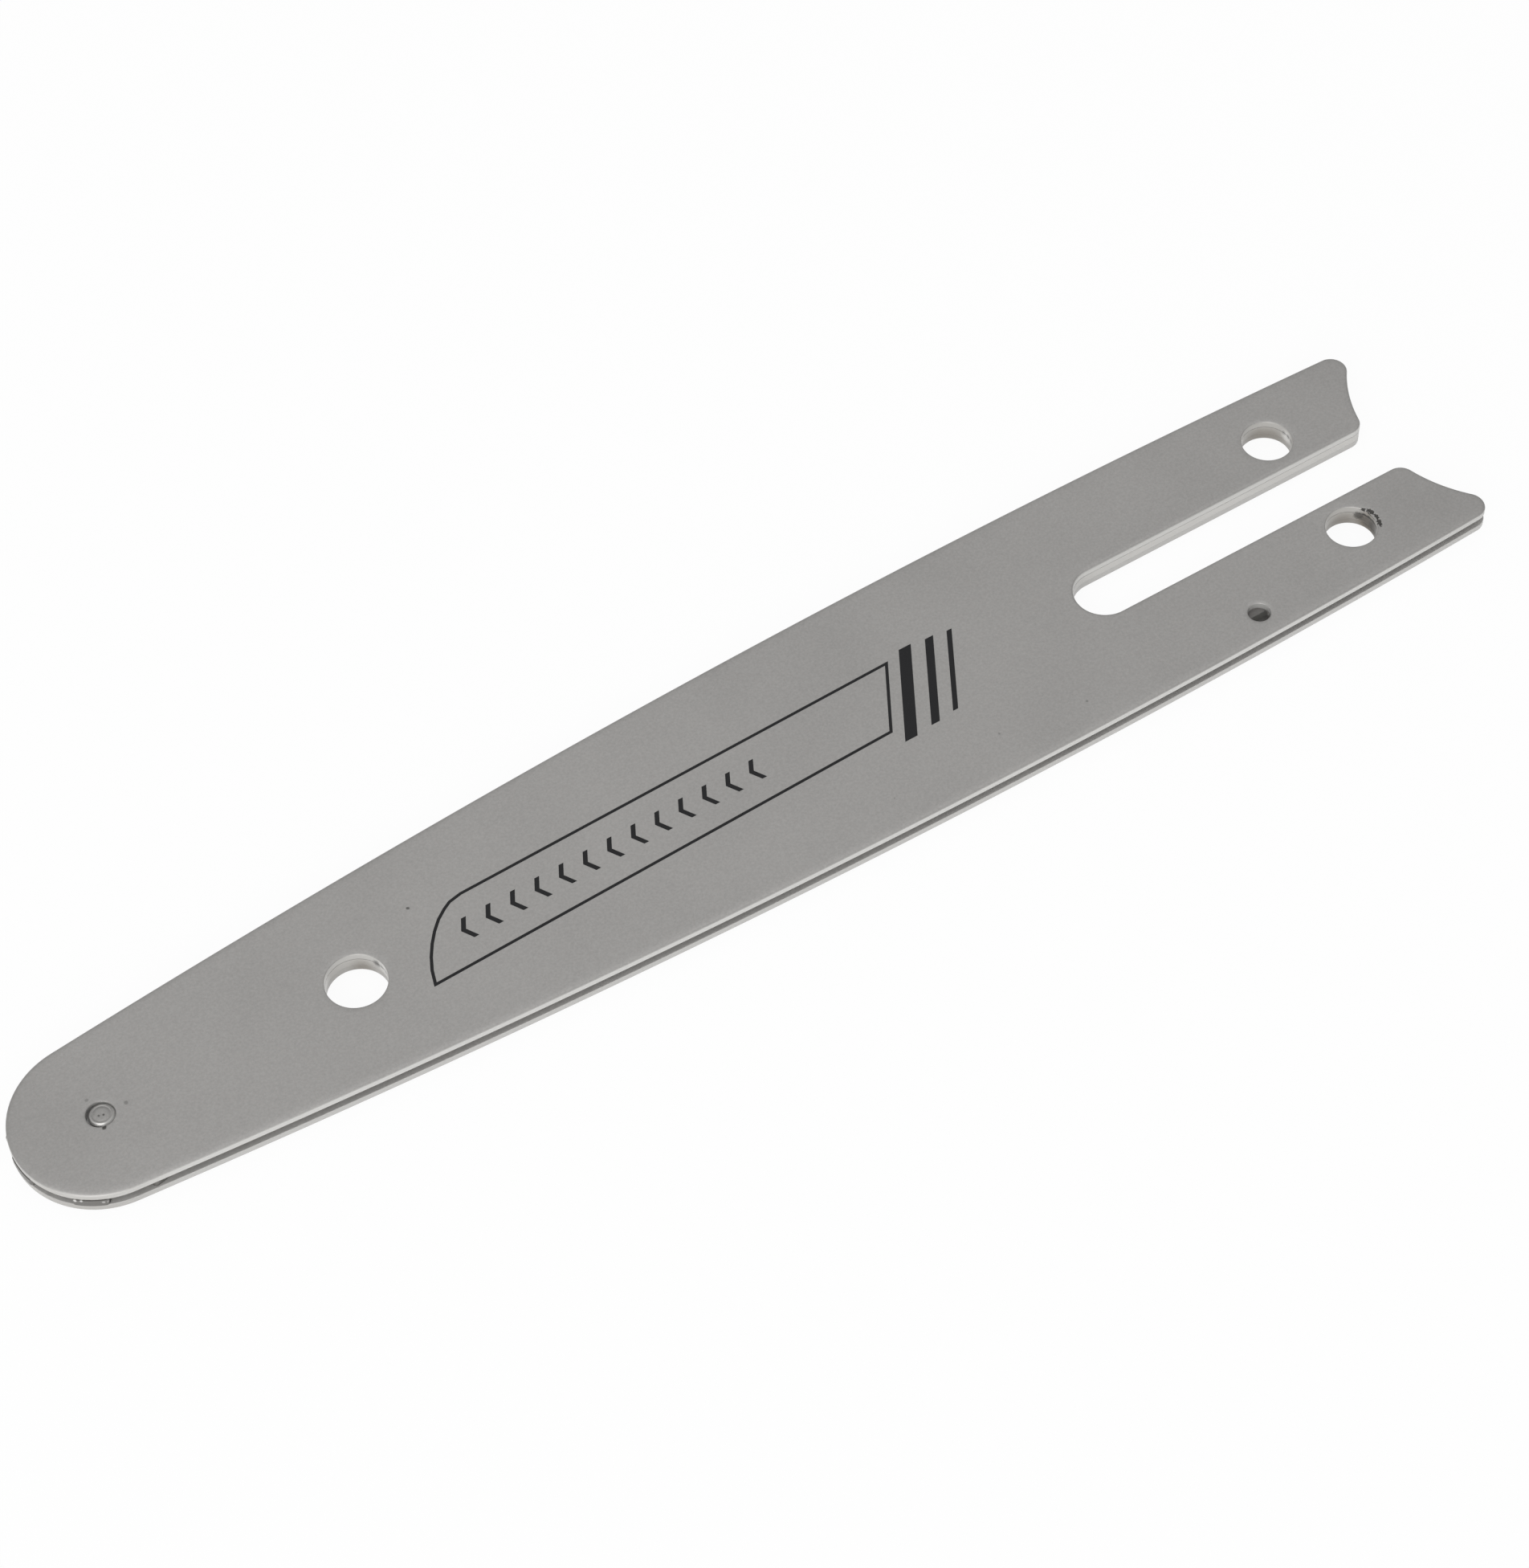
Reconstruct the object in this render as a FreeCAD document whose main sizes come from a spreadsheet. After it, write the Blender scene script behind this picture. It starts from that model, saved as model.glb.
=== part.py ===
import FreeCAD, Part
import math
import os

import Sketcher

# Chainsaw guide bar: two steel side plates and a narrower core plate between them, which leaves the chain groove
# open along both rails and round the nose. The forked tail takes the saw's bar stud in its slot and the chain
# tensioner's pin in one of its two holes, whichever way up the bar is fitted. A toothed wheel turns in the nose
# on a ring of loose rollers, round a hub that one rivet holds between the side plates.
#
# Frame: X along the bar towards the nose, Y across it, Z up through the plates. The origin is under the middle of
# the bar, on the face that it lies on. Every body is drawn with its own X measured from the tail's tips.

SIZES = [
    ("bar_length", 211.6, "tips of the tail to the end of the nose"),
    ("bar_width", 36.9, "across the rails at the widest place"),
    ("widest_from_tail", 60.2, "tail tips to the widest place"),
    ("nose_radius", 11.5, "round end of the side plates"),
    ("plate_thickness", 1.1, "each side plate"),
    ("groove_width", 1.2, "gap between the side plates, and the core plate's thickness"),
    ("groove_depth", 4.2, "rail edge to the core plate"),
    ("edge_chamfer", 0.2, "broken outer edges of the side plates"),
    ("slot_width", 8.2, "fork slot for the bar stud"),
    ("slot_depth", 55.6, "tail tips to the slot's round end"),
    ("mouth_radius", 2.2, "corners of the slot's mouth"),
    ("corner_radius", 2.2, "outer corners of the tail"),
    ("hollow_radius", 21.5, "hollow ends of the two tail legs"),
    ("tail_hole_diameter", 7.0, "holes for the tensioner's pin"),
    ("tail_hole_shift", 0.175, "tail holes outwards from the middle of each leg's solid width"),
    ("tail_hole_from_tail", 17.6, "tail tips to the tail holes"),
    ("nose_hole_diameter", 8.0, "hanging hole behind the nose"),
    ("nose_hole_setback", 35.3, "rivet to the hanging hole"),
    ("oil_hole_diameter", 3.3, "oil hole of each side plate"),
    ("oil_hole_from_tail", 37.0, "tail tips to the oil holes"),
    ("oil_hole_inset", 3.75, "rail at the widest place to the oil holes"),
    ("rivet_diameter", 2.8, "shank of the nose rivet"),
    ("rivet_head_diameter", 3.7, "flush heads of the nose rivet"),
    ("dimple_diameter", 2.2, "punch mark in each rivet head"),
    ("dimple_depth", 0.14, "depth of the punch mark"),
    ("hub_diameter", 6.8, "inner race of the roller bearing"),
    ("roller_diameter", 1.6, "bearing rollers"),
    ("roller_clearance", 0.03, "play of a roller against the hub and the bore"),
    ("roller_gap", 0.04, "least gap between two rollers"),
    ("side_clearance", 0.05, "play of the sprocket and rollers against each side plate"),
    ("tooth_count", 7, "teeth of the sprocket"),
    ("first_tooth_angle", 56.0, "degrees from the bar's middle line to the first tooth"),
    ("tooth_proud", 0.1, "tooth tips beyond the nose of the side plates"),
    ("tooth_depth", 4.2, "tooth tip to the bottom of a gullet"),
    ("gullet_radius", 2.0, "round bottom of a gullet"),
    ("gullet_mouth", 6.4, "width of a gullet just outside the tooth tips"),
    ("tip_radius", 0.5, "rounded corners of the tooth tips"),
    ("pocket_clearance", 0.6, "core plate to the tooth tips"),
]

# A gullet's outline is closed this far outside the tooth tips.
MOUTH_OVERRUN = 0.5

# Places and sizes that follow from the sheet, as expressions that several pieces share.
RAIL_RADIUS = (
    "((Sizes.bar_length - Sizes.nose_radius - Sizes.widest_from_tail)^2"
    " / (Sizes.bar_width - 2 * Sizes.nose_radius)"
    " + (Sizes.bar_width / 2 + Sizes.nose_radius) / 2)"
)
RAIL_DROP = f"({RAIL_RADIUS} - Sizes.bar_width / 2)"
NOSE_CENTRE = "(Sizes.bar_length - Sizes.nose_radius)"
NOSE_HOLE = f"({NOSE_CENTRE} - Sizes.nose_hole_setback)"
SLOT_CENTRE = "(Sizes.slot_depth - Sizes.slot_width / 2)"
TAIL_HOLE = (
    "((Sizes.slot_width / 2 + Sizes.bar_width / 2 - Sizes.groove_depth) / 2 + Sizes.tail_hole_shift)"
)
TOOTH_TIP = "(Sizes.nose_radius + Sizes.tooth_proud)"
POCKET_RADIUS = f"({TOOTH_TIP} + Sizes.pocket_clearance)"
BEARING_BORE = "(Sizes.hub_diameter / 2 + Sizes.roller_diameter + 2 * Sizes.roller_clearance)"
ROLLER_CIRCLE = "(Sizes.hub_diameter / 2 + Sizes.roller_diameter / 2 + Sizes.roller_clearance)"
ROLLER_COUNT = f"floor(180 deg / asin((Sizes.roller_diameter + Sizes.roller_gap) / (2 * {ROLLER_CIRCLE})))"
TURNING_THICKNESS = "(Sizes.groove_width - 2 * Sizes.side_clearance)"
BAR_THICKNESS = "(2 * Sizes.plate_thickness + Sizes.groove_width)"

START, END, CENTRE = 1, 2, 3
ORIGIN = (-1, 1)
X_AXIS = -1

doc = FreeCAD.newDocument("GuideBar")
sheet = doc.addObject("Spreadsheet::Sheet", "Sizes")
for row, (alias, value, meaning) in enumerate(SIZES, start=1):
    sheet.set(f"A{row}", alias.replace("_", " "))
    sheet.set(f"B{row}", str(value))
    sheet.set(f"C{row}", meaning)
    sheet.setAlias(f"B{row}", alias)
doc.recompute()
size = {alias: float(getattr(sheet, alias)) for alias, value, meaning in SIZES}


def new_body(label):
    body = doc.addObject("PartDesign::Body", label)
    body.Label = label
    return body


def origin_plane(body, role):
    return next(feature for feature in body.Origin.OriginFeatures if feature.Role == role)


def new_sketch(body, name, role="XY_Plane"):
    sketch = body.newObject("Sketcher::SketchObject", name)
    sketch.AttachmentSupport = [(origin_plane(body, role), "")]
    sketch.MapMode = "FlatFace"
    return sketch


def rule(sketch, *args, name=None, expression=None):
    """Adds one constraint, and ties it to the sheet where it has an expression."""
    index = sketch.addConstraint(Sketcher.Constraint(*args))
    if name:
        sketch.renameConstraint(index, name)
        sketch.setExpression(f"Constraints.{name}", expression)


def arc(sketch, centre, radius, start, end, construction=False):
    circle = Part.Circle(FreeCAD.Vector(*centre, 0), FreeCAD.Vector(0, 0, 1), radius)
    return sketch.addGeometry(Part.ArcOfCircle(circle, start, end), construction)


def line(sketch, first, last):
    return sketch.addGeometry(Part.LineSegment(FreeCAD.Vector(*first, 0), FreeCAD.Vector(*last, 0)), False)


def outline_places():
    """Where the arcs of the outline start before the sketch solves them."""
    s = size
    half_width = s["bar_width"] / 2
    nose_x = s["bar_length"] - s["nose_radius"]
    run = nose_x - s["widest_from_tail"]
    rail_radius = run**2 / (s["bar_width"] - 2 * s["nose_radius"]) + (half_width + s["nose_radius"]) / 2
    rail = (s["widest_from_tail"], half_width - rail_radius)
    corner_y = rail[1] + math.sqrt(
        (rail_radius - s["corner_radius"]) ** 2 - (s["widest_from_tail"] - s["corner_radius"]) ** 2
    )
    corner = (s["corner_radius"], corner_y)
    hollow_x = corner[0] - math.sqrt((s["hollow_radius"] + s["corner_radius"]) ** 2 - corner_y**2)
    mouth_y = s["slot_width"] / 2 + s["mouth_radius"]
    mouth_x = hollow_x + math.sqrt((s["hollow_radius"] + s["mouth_radius"]) ** 2 - mouth_y**2)
    return nose_x, rail_radius, rail, corner, hollow_x, (mouth_x, mouth_y)


def direction(start, end):
    """Angle of the line from one point to another, from 0 to a full turn."""
    return math.atan2(end[1] - start[1], end[0] - start[0]) % (2 * math.pi)


def tail_half(sketch, hollow_end):
    """Adds the hollow end of one leg, the slot's mouth corner, its side and half of its round end."""
    nose_x, rail_radius, rail, corner, hollow_x, mouth = outline_places()
    slot_half = size["slot_width"] / 2
    slot_x = size["slot_depth"] - slot_half
    to_mouth = direction((hollow_x, 0), mouth)

    hollow = arc(sketch, (hollow_x, 0), size["hollow_radius"], to_mouth, hollow_end)
    mouth_arc = arc(sketch, mouth, size["mouth_radius"], to_mouth + math.pi, 1.5 * math.pi)
    side = line(sketch, (mouth[0], slot_half), (slot_x, slot_half))
    slot_end = arc(sketch, (slot_x, 0), slot_half, 0, math.pi / 2)

    rule(sketch, "PointOnObject", hollow, CENTRE, X_AXIS)
    rule(sketch, "Radius", hollow, size["hollow_radius"], name="hollow_radius", expression="Sizes.hollow_radius")
    rule(sketch, "Tangent", hollow, START, mouth_arc, START)
    rule(sketch, "Radius", mouth_arc, size["mouth_radius"], name="mouth_radius", expression="Sizes.mouth_radius")
    rule(sketch, "Tangent", mouth_arc, END, side, START)
    rule(sketch, "Horizontal", side)
    rule(sketch, "DistanceY", *ORIGIN, side, START, slot_half, name="slot_half", expression="Sizes.slot_width / 2")
    rule(sketch, "Tangent", side, END, slot_end, END)
    rule(sketch, "PointOnObject", slot_end, CENTRE, X_AXIS)
    rule(sketch, "DistanceX", *ORIGIN, slot_end, CENTRE, slot_x, name="slot_centre", expression=SLOT_CENTRE)
    rule(sketch, "PointOnObject", slot_end, START, X_AXIS)
    return hollow, slot_end


def place_rail(sketch, rail_arc, rail, radius, radius_expression):
    """Gives a rail arc the centre that both rails' arcs share, and its own radius."""
    rule(sketch, "DistanceX", *ORIGIN, rail_arc, CENTRE, rail[0], name="widest", expression="Sizes.widest_from_tail")
    rule(sketch, "DistanceY", rail_arc, CENTRE, *ORIGIN, -rail[1], name="rail_drop", expression=RAIL_DROP)
    rule(sketch, "Radius", rail_arc, radius, name="rail_radius", expression=radius_expression)


def place_corner(sketch, corner_arc):
    """Gives the tail's outer corner its radius, and puts its tip on the line that the bar is measured from."""
    corner_radius = size["corner_radius"]
    rule(sketch, "Radius", corner_arc, corner_radius, name="corner_radius", expression="Sizes.corner_radius")
    rule(sketch, "DistanceX", *ORIGIN, corner_arc, CENTRE, corner_radius, name="tip", expression="Sizes.corner_radius")


def side_plate_outline(sketch):
    """Half of a side plate: nose, rail, tail corner, hollow end, slot mouth and slot, closed along the middle."""
    nose_x, rail_radius, rail, corner, hollow_x, mouth = outline_places()
    nose_turn = direction(rail, (nose_x, 0))
    tail_turn = direction(rail, corner)
    hollow_turn = direction((hollow_x, 0), corner)

    middle = line(sketch, (size["slot_depth"], 0), (size["bar_length"], 0))
    nose = arc(sketch, (nose_x, 0), size["nose_radius"], 0, nose_turn)
    rail_arc = arc(sketch, rail, rail_radius, nose_turn, tail_turn)
    corner_arc = arc(sketch, corner, size["corner_radius"], tail_turn, hollow_turn + math.pi)
    hollow, slot_end = tail_half(sketch, hollow_turn)

    rule(sketch, "Coincident", middle, END, nose, START)
    rule(sketch, "PointOnObject", middle, END, X_AXIS)
    rule(sketch, "PointOnObject", nose, CENTRE, X_AXIS)
    rule(sketch, "DistanceX", *ORIGIN, nose, CENTRE, nose_x, name="nose_centre", expression=NOSE_CENTRE)
    rule(sketch, "Tangent", nose, END, rail_arc, START)
    place_rail(sketch, rail_arc, rail, rail_radius, RAIL_RADIUS)
    rule(sketch, "Tangent", rail_arc, END, corner_arc, START)
    place_corner(sketch, corner_arc)
    rule(sketch, "Tangent", corner_arc, END, hollow, END)
    rule(sketch, "Coincident", slot_end, START, middle, START)


def core_plate_outline(sketch):
    """Half of the core plate: set in along the rail, flush at the tail and hollowed round the sprocket."""
    nose_x, rail_radius, rail, corner, hollow_x, mouth = outline_places()
    core_radius = rail_radius - size["groove_depth"]
    pocket_radius = size["nose_radius"] + size["tooth_proud"] + size["pocket_clearance"]
    core_half_width = size["bar_width"] / 2 - size["groove_depth"]
    nose_meet = direction((nose_x, 0), (nose_x - pocket_radius, core_half_width))
    nose_turn = direction(rail, (nose_x - pocket_radius, core_half_width))
    tail_turn = direction(rail, (0, core_half_width))
    hollow_meet = math.asin((core_half_width - 1) / size["hollow_radius"])

    middle = line(sketch, (size["slot_depth"], 0), (nose_x - pocket_radius, 0))
    pocket = arc(sketch, (nose_x, 0), pocket_radius, nose_meet, math.pi)
    core_rail = arc(sketch, rail, core_radius, nose_turn, tail_turn)
    hollow, slot_end = tail_half(sketch, hollow_meet)
    outer_rail = arc(sketch, rail, rail_radius, nose_turn, tail_turn, construction=True)
    outer_corner = arc(sketch, corner, size["corner_radius"], tail_turn, math.pi, construction=True)

    rule(sketch, "Coincident", middle, END, pocket, END)
    rule(sketch, "PointOnObject", middle, END, X_AXIS)
    rule(sketch, "PointOnObject", pocket, CENTRE, X_AXIS)
    rule(sketch, "DistanceX", *ORIGIN, pocket, CENTRE, nose_x, name="nose_centre", expression=NOSE_CENTRE)
    rule(sketch, "Radius", pocket, pocket_radius, name="pocket_radius", expression=POCKET_RADIUS)
    rule(sketch, "Coincident", pocket, START, core_rail, START)
    rule(sketch, "Coincident", core_rail, CENTRE, outer_rail, CENTRE)
    core_expression = f"{RAIL_RADIUS} - Sizes.groove_depth"
    rule(sketch, "Radius", core_rail, core_radius, name="core_radius", expression=core_expression)
    rule(sketch, "Coincident", core_rail, END, hollow, END)
    rule(sketch, "Coincident", slot_end, START, middle, START)
    place_rail(sketch, outer_rail, rail, rail_radius, RAIL_RADIUS)
    place_corner(sketch, outer_corner)
    rule(sketch, "Tangent", outer_rail, END, outer_corner, START)
    rule(sketch, "Tangent", outer_corner, END, hollow)
    rule(sketch, "PointOnObject", outer_rail, START, pocket)


def add_circle(sketch, name, centre, diameter, place, diameter_expression):
    """Adds a hole's circle, tied to the sheet by its place along and across the bar and by its diameter."""
    circle = Part.Circle(FreeCAD.Vector(*centre, 0), FreeCAD.Vector(0, 0, 1), diameter / 2)
    index = sketch.addGeometry(circle, False)
    along, across = place
    radius_expression = f"{diameter_expression} / 2"
    rule(sketch, "Radius", index, diameter / 2, name=f"{name}_radius", expression=radius_expression)
    rule(sketch, "DistanceX", *ORIGIN, index, CENTRE, centre[0], name=f"{name}_along", expression=along)
    if across is None:
        rule(sketch, "PointOnObject", index, CENTRE, X_AXIS)
    elif centre[1] > 0:
        rule(sketch, "DistanceY", *ORIGIN, index, CENTRE, centre[1], name=f"{name}_across", expression=across)
    else:
        rule(sketch, "DistanceY", index, CENTRE, *ORIGIN, -centre[1], name=f"{name}_across", expression=across)


def add_bar_holes(sketch):
    """The hanging hole behind the nose and the two tail holes, which go through all three plates."""
    nose_place = (NOSE_HOLE, None)
    nose_point = (size["bar_length"] - size["nose_radius"] - size["nose_hole_setback"], 0)
    add_circle(sketch, "nose_hole", nose_point, size["nose_hole_diameter"], nose_place, "Sizes.nose_hole_diameter")
    leg_middle = (size["slot_width"] / 2 + size["bar_width"] / 2 - size["groove_depth"]) / 2
    place = ("Sizes.tail_hole_from_tail", TAIL_HOLE)
    for name, side in (("near_hole", 1), ("far_hole", -1)):
        point = (size["tail_hole_from_tail"], side * (leg_middle + size["tail_hole_shift"]))
        add_circle(sketch, name, point, size["tail_hole_diameter"], place, "Sizes.tail_hole_diameter")


def pad(body, sketch, name, length_expression):
    feature = body.newObject("PartDesign::Pad", name)
    feature.Profile = sketch
    feature.setExpression("Length", length_expression)
    body.Tip = feature
    doc.recompute()
    return feature


def cut_through(body, sketch, name):
    """Cuts a sketch on the base plane up through the whole piece, and makes sure that it removed something."""
    before = body.Shape.Volume
    feature = body.newObject("PartDesign::Pocket", name)
    feature.Profile = sketch
    feature.Type = "ThroughAll"
    feature.Reversed = True
    body.Tip = feature
    doc.recompute()
    if not body.Shape.Volume < before:
        raise RuntimeError(f"{body.Label}: {name} cut nothing")
    return feature


def mirror_half(body, feature, name):
    mirrored = body.newObject("PartDesign::Mirrored", name)
    mirrored.Originals = [feature]
    mirrored.MirrorPlane = (origin_plane(body, "XZ_Plane"), [""])
    mirrored.Refine = True
    body.Tip = mirrored
    doc.recompute()
    return mirrored


def polar_pattern(body, feature, name, count_expression):
    pattern = body.newObject("PartDesign::PolarPattern", name)
    pattern.Originals = [feature]
    pattern.Axis = (origin_plane(body, "Z_Axis"), [""])
    pattern.Angle = 360
    pattern.setExpression("Occurrences", count_expression)
    body.Tip = pattern
    doc.recompute()
    return pattern


def edges_where(shape, test):
    return [f"Edge{number}" for number, edge in enumerate(shape.Edges, start=1) if test(edge)]


def dress(body, kind, name, edges, property_name, expression):
    """Adds a fillet or chamfer over the named edges of the body's last feature."""
    dressed = body.Tip
    feature = body.newObject(f"PartDesign::{kind}", name)
    feature.Base = (dressed, edges)
    feature.setExpression(property_name, expression)
    body.Tip = feature
    doc.recompute()
    return feature


def lies_at_height(edge, height):
    box = edge.BoundBox
    return abs(box.ZMin - height) < 1e-4 and abs(box.ZMax - height) < 1e-4


def place_along_bar(body, height_expression, x_expression="0", angle_expression=None, axis=(0, 0, 1)):
    """Moves a body from the tail's tips into the bar's own frame, and turns it where it is told to."""
    body.Placement = FreeCAD.Placement(FreeCAD.Vector(0, 0, 0), FreeCAD.Rotation(FreeCAD.Vector(*axis), 30))
    body.setExpression("Placement.Rotation.Angle", angle_expression or "0 deg")
    body.setExpression("Placement.Base.x", f"{x_expression} - Sizes.bar_length / 2")
    body.setExpression("Placement.Base.z", height_expression)


def side_plate(label):
    """One side plate. Its base plane is the face against the core plate, and its outer edges are broken."""
    body = new_body(label)
    outline = new_sketch(body, "Outline_" + label)
    side_plate_outline(outline)
    half = pad(body, outline, "Half_" + label, "Sizes.plate_thickness")
    mirror_half(body, half, "Whole_" + label)

    holes = new_sketch(body, "Holes_" + label)
    add_bar_holes(holes)
    oil_point = (size["oil_hole_from_tail"], size["bar_width"] / 2 - size["oil_hole_inset"])
    oil_place = ("Sizes.oil_hole_from_tail", "Sizes.bar_width / 2 - Sizes.oil_hole_inset")
    add_circle(holes, "oil_hole", oil_point, size["oil_hole_diameter"], oil_place, "Sizes.oil_hole_diameter")
    cut_through(body, holes, "Drilled_" + label)

    rims = edges_where(body.Shape, lambda edge: lies_at_height(edge, size["plate_thickness"]))
    dress(body, "Chamfer", "Broken_" + label, rims, "Size", "Sizes.edge_chamfer")

    rivet_hole = new_sketch(body, "RivetHole_" + label)
    nose_point = (size["bar_length"] - size["nose_radius"], 0)
    add_circle(rivet_hole, "rivet", nose_point, size["rivet_diameter"], (NOSE_CENTRE, None), "Sizes.rivet_diameter")
    cut_through(body, rivet_hole, "Riveted_" + label)

    def is_rivet_rim(edge):
        round_edge = isinstance(edge.Curve, Part.Circle)
        at_nose = round_edge and abs(edge.Curve.Center.x - nose_point[0]) < 1e-4
        small = round_edge and edge.Curve.Radius < size["rivet_diameter"] / 2 + 1e-4
        return at_nose and small and lies_at_height(edge, size["plate_thickness"])

    countersink = "(Sizes.rivet_head_diameter - Sizes.rivet_diameter) / 2"
    dress(body, "Chamfer", "Countersunk_" + label, edges_where(body.Shape, is_rivet_rim), "Size", countersink)
    return body


def core_plate():
    body = new_body("core_plate")
    outline = new_sketch(body, "Outline_core_plate")
    core_plate_outline(outline)
    half = pad(body, outline, "Half_core_plate", "Sizes.groove_width")
    mirror_half(body, half, "Whole_core_plate")
    holes = new_sketch(body, "Holes_core_plate")
    add_bar_holes(holes)
    cut_through(body, holes, "Drilled_core_plate")
    place_along_bar(body, "Sizes.plate_thickness")
    return body


def gullet_outline(sketch):
    """The gap between two teeth: a round bottom and two flanks that open outwards past the tooth tips."""
    tip = size["nose_radius"] + size["tooth_proud"]
    bottom_x = tip - size["tooth_depth"] + size["gullet_radius"]
    outer_x = tip + MOUTH_OVERRUN
    mouth_half = size["gullet_mouth"] / 2
    reach = math.hypot(outer_x - bottom_x, mouth_half)
    lean = math.acos(size["gullet_radius"] / reach) + math.atan2(mouth_half, outer_x - bottom_x)

    bottom = arc(sketch, (bottom_x, 0), size["gullet_radius"], lean, 2 * math.pi - lean)
    touch = (bottom_x + size["gullet_radius"] * math.cos(lean), size["gullet_radius"] * math.sin(lean))
    upper = line(sketch, touch, (outer_x, mouth_half))
    lower = line(sketch, (touch[0], -touch[1]), (outer_x, -mouth_half))
    closing = line(sketch, (outer_x, mouth_half), (outer_x, -mouth_half))

    bottom_expression = f"{TOOTH_TIP} - Sizes.tooth_depth + Sizes.gullet_radius"
    outer_expression = f"{TOOTH_TIP} + {MOUTH_OVERRUN}"
    rule(sketch, "PointOnObject", bottom, CENTRE, X_AXIS)
    rule(sketch, "DistanceX", *ORIGIN, bottom, CENTRE, bottom_x, name="bottom", expression=bottom_expression)
    rule(sketch, "Radius", bottom, size["gullet_radius"], name="bottom_radius", expression="Sizes.gullet_radius")
    rule(sketch, "Tangent", bottom, START, upper, START)
    rule(sketch, "Tangent", bottom, END, lower, START)
    rule(sketch, "Coincident", upper, END, closing, START)
    rule(sketch, "Coincident", lower, END, closing, END)
    rule(sketch, "Symmetric", closing, START, closing, END, X_AXIS)
    rule(sketch, "DistanceX", *ORIGIN, closing, START, outer_x, name="outer", expression=outer_expression)
    rule(sketch, "DistanceY", *ORIGIN, closing, START, mouth_half, name="mouth", expression="Sizes.gullet_mouth / 2")


def add_ring(sketch, outer, outer_expression, inner, inner_expression):
    """Two circles on the body's own axis."""
    for name, radius, expression in (("outer", outer, outer_expression), ("inner", inner, inner_expression)):
        circle = Part.Circle(FreeCAD.Vector(0, 0, 0), FreeCAD.Vector(0, 0, 1), radius)
        index = sketch.addGeometry(circle, False)
        rule(sketch, "Coincident", index, CENTRE, *ORIGIN)
        rule(sketch, "Radius", index, radius, name=f"{name}_radius", expression=expression)


def nose_sprocket():
    body = new_body("nose_sprocket")
    tip = size["nose_radius"] + size["tooth_proud"]
    bore = size["hub_diameter"] / 2 + size["roller_diameter"] + 2 * size["roller_clearance"]
    blank = new_sketch(body, "SprocketBlank")
    add_ring(blank, tip, TOOTH_TIP, bore, BEARING_BORE)
    pad(body, blank, "SprocketDisc", TURNING_THICKNESS)
    gullet = new_sketch(body, "GulletOutline")
    gullet_outline(gullet)
    first_gullet = cut_through(body, gullet, "Gullet")
    polar_pattern(body, first_gullet, "Gullets", "Sizes.tooth_count")

    def is_tip_corner(edge):
        upright = isinstance(edge.Curve, Part.Line) and edge.BoundBox.ZLength > 0.5 * size["groove_width"]
        at_tip = math.hypot(edge.Vertexes[0].X, edge.Vertexes[0].Y) > tip - 1e-3
        return upright and at_tip

    dress(body, "Fillet", "ToothTips", edges_where(body.Shape, is_tip_corner), "Radius", "Sizes.tip_radius")
    turn = "Sizes.first_tooth_angle * 1 deg + 180 deg / Sizes.tooth_count"
    place_along_bar(body, "Sizes.plate_thickness + Sizes.side_clearance", NOSE_CENTRE, turn)
    return body


def sprocket_hub():
    body = new_body("sprocket_hub")
    ring = new_sketch(body, "HubRing")
    outer, inner = size["hub_diameter"] / 2, size["rivet_diameter"] / 2
    add_ring(ring, outer, "Sizes.hub_diameter / 2", inner, "Sizes.rivet_diameter / 2")
    pad(body, ring, "HubDisc", "Sizes.groove_width")
    place_along_bar(body, "Sizes.plate_thickness", NOSE_CENTRE)
    return body


def bearing_rollers():
    """A full ring of loose rollers, as many as fit on their circle."""
    body = new_body("bearing_rollers")
    body.AllowCompound = True
    roller = new_sketch(body, "RollerCircle")
    circle_radius = size["hub_diameter"] / 2 + size["roller_diameter"] / 2 + size["roller_clearance"]
    add_circle(
        roller, "roller", (circle_radius, 0), size["roller_diameter"], (ROLLER_CIRCLE, None), "Sizes.roller_diameter"
    )
    first_roller = pad(body, roller, "Roller", TURNING_THICKNESS)
    polar_pattern(body, first_roller, "Rollers", ROLLER_COUNT)
    place_along_bar(body, "Sizes.plate_thickness + Sizes.side_clearance", NOSE_CENTRE)
    return body


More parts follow.
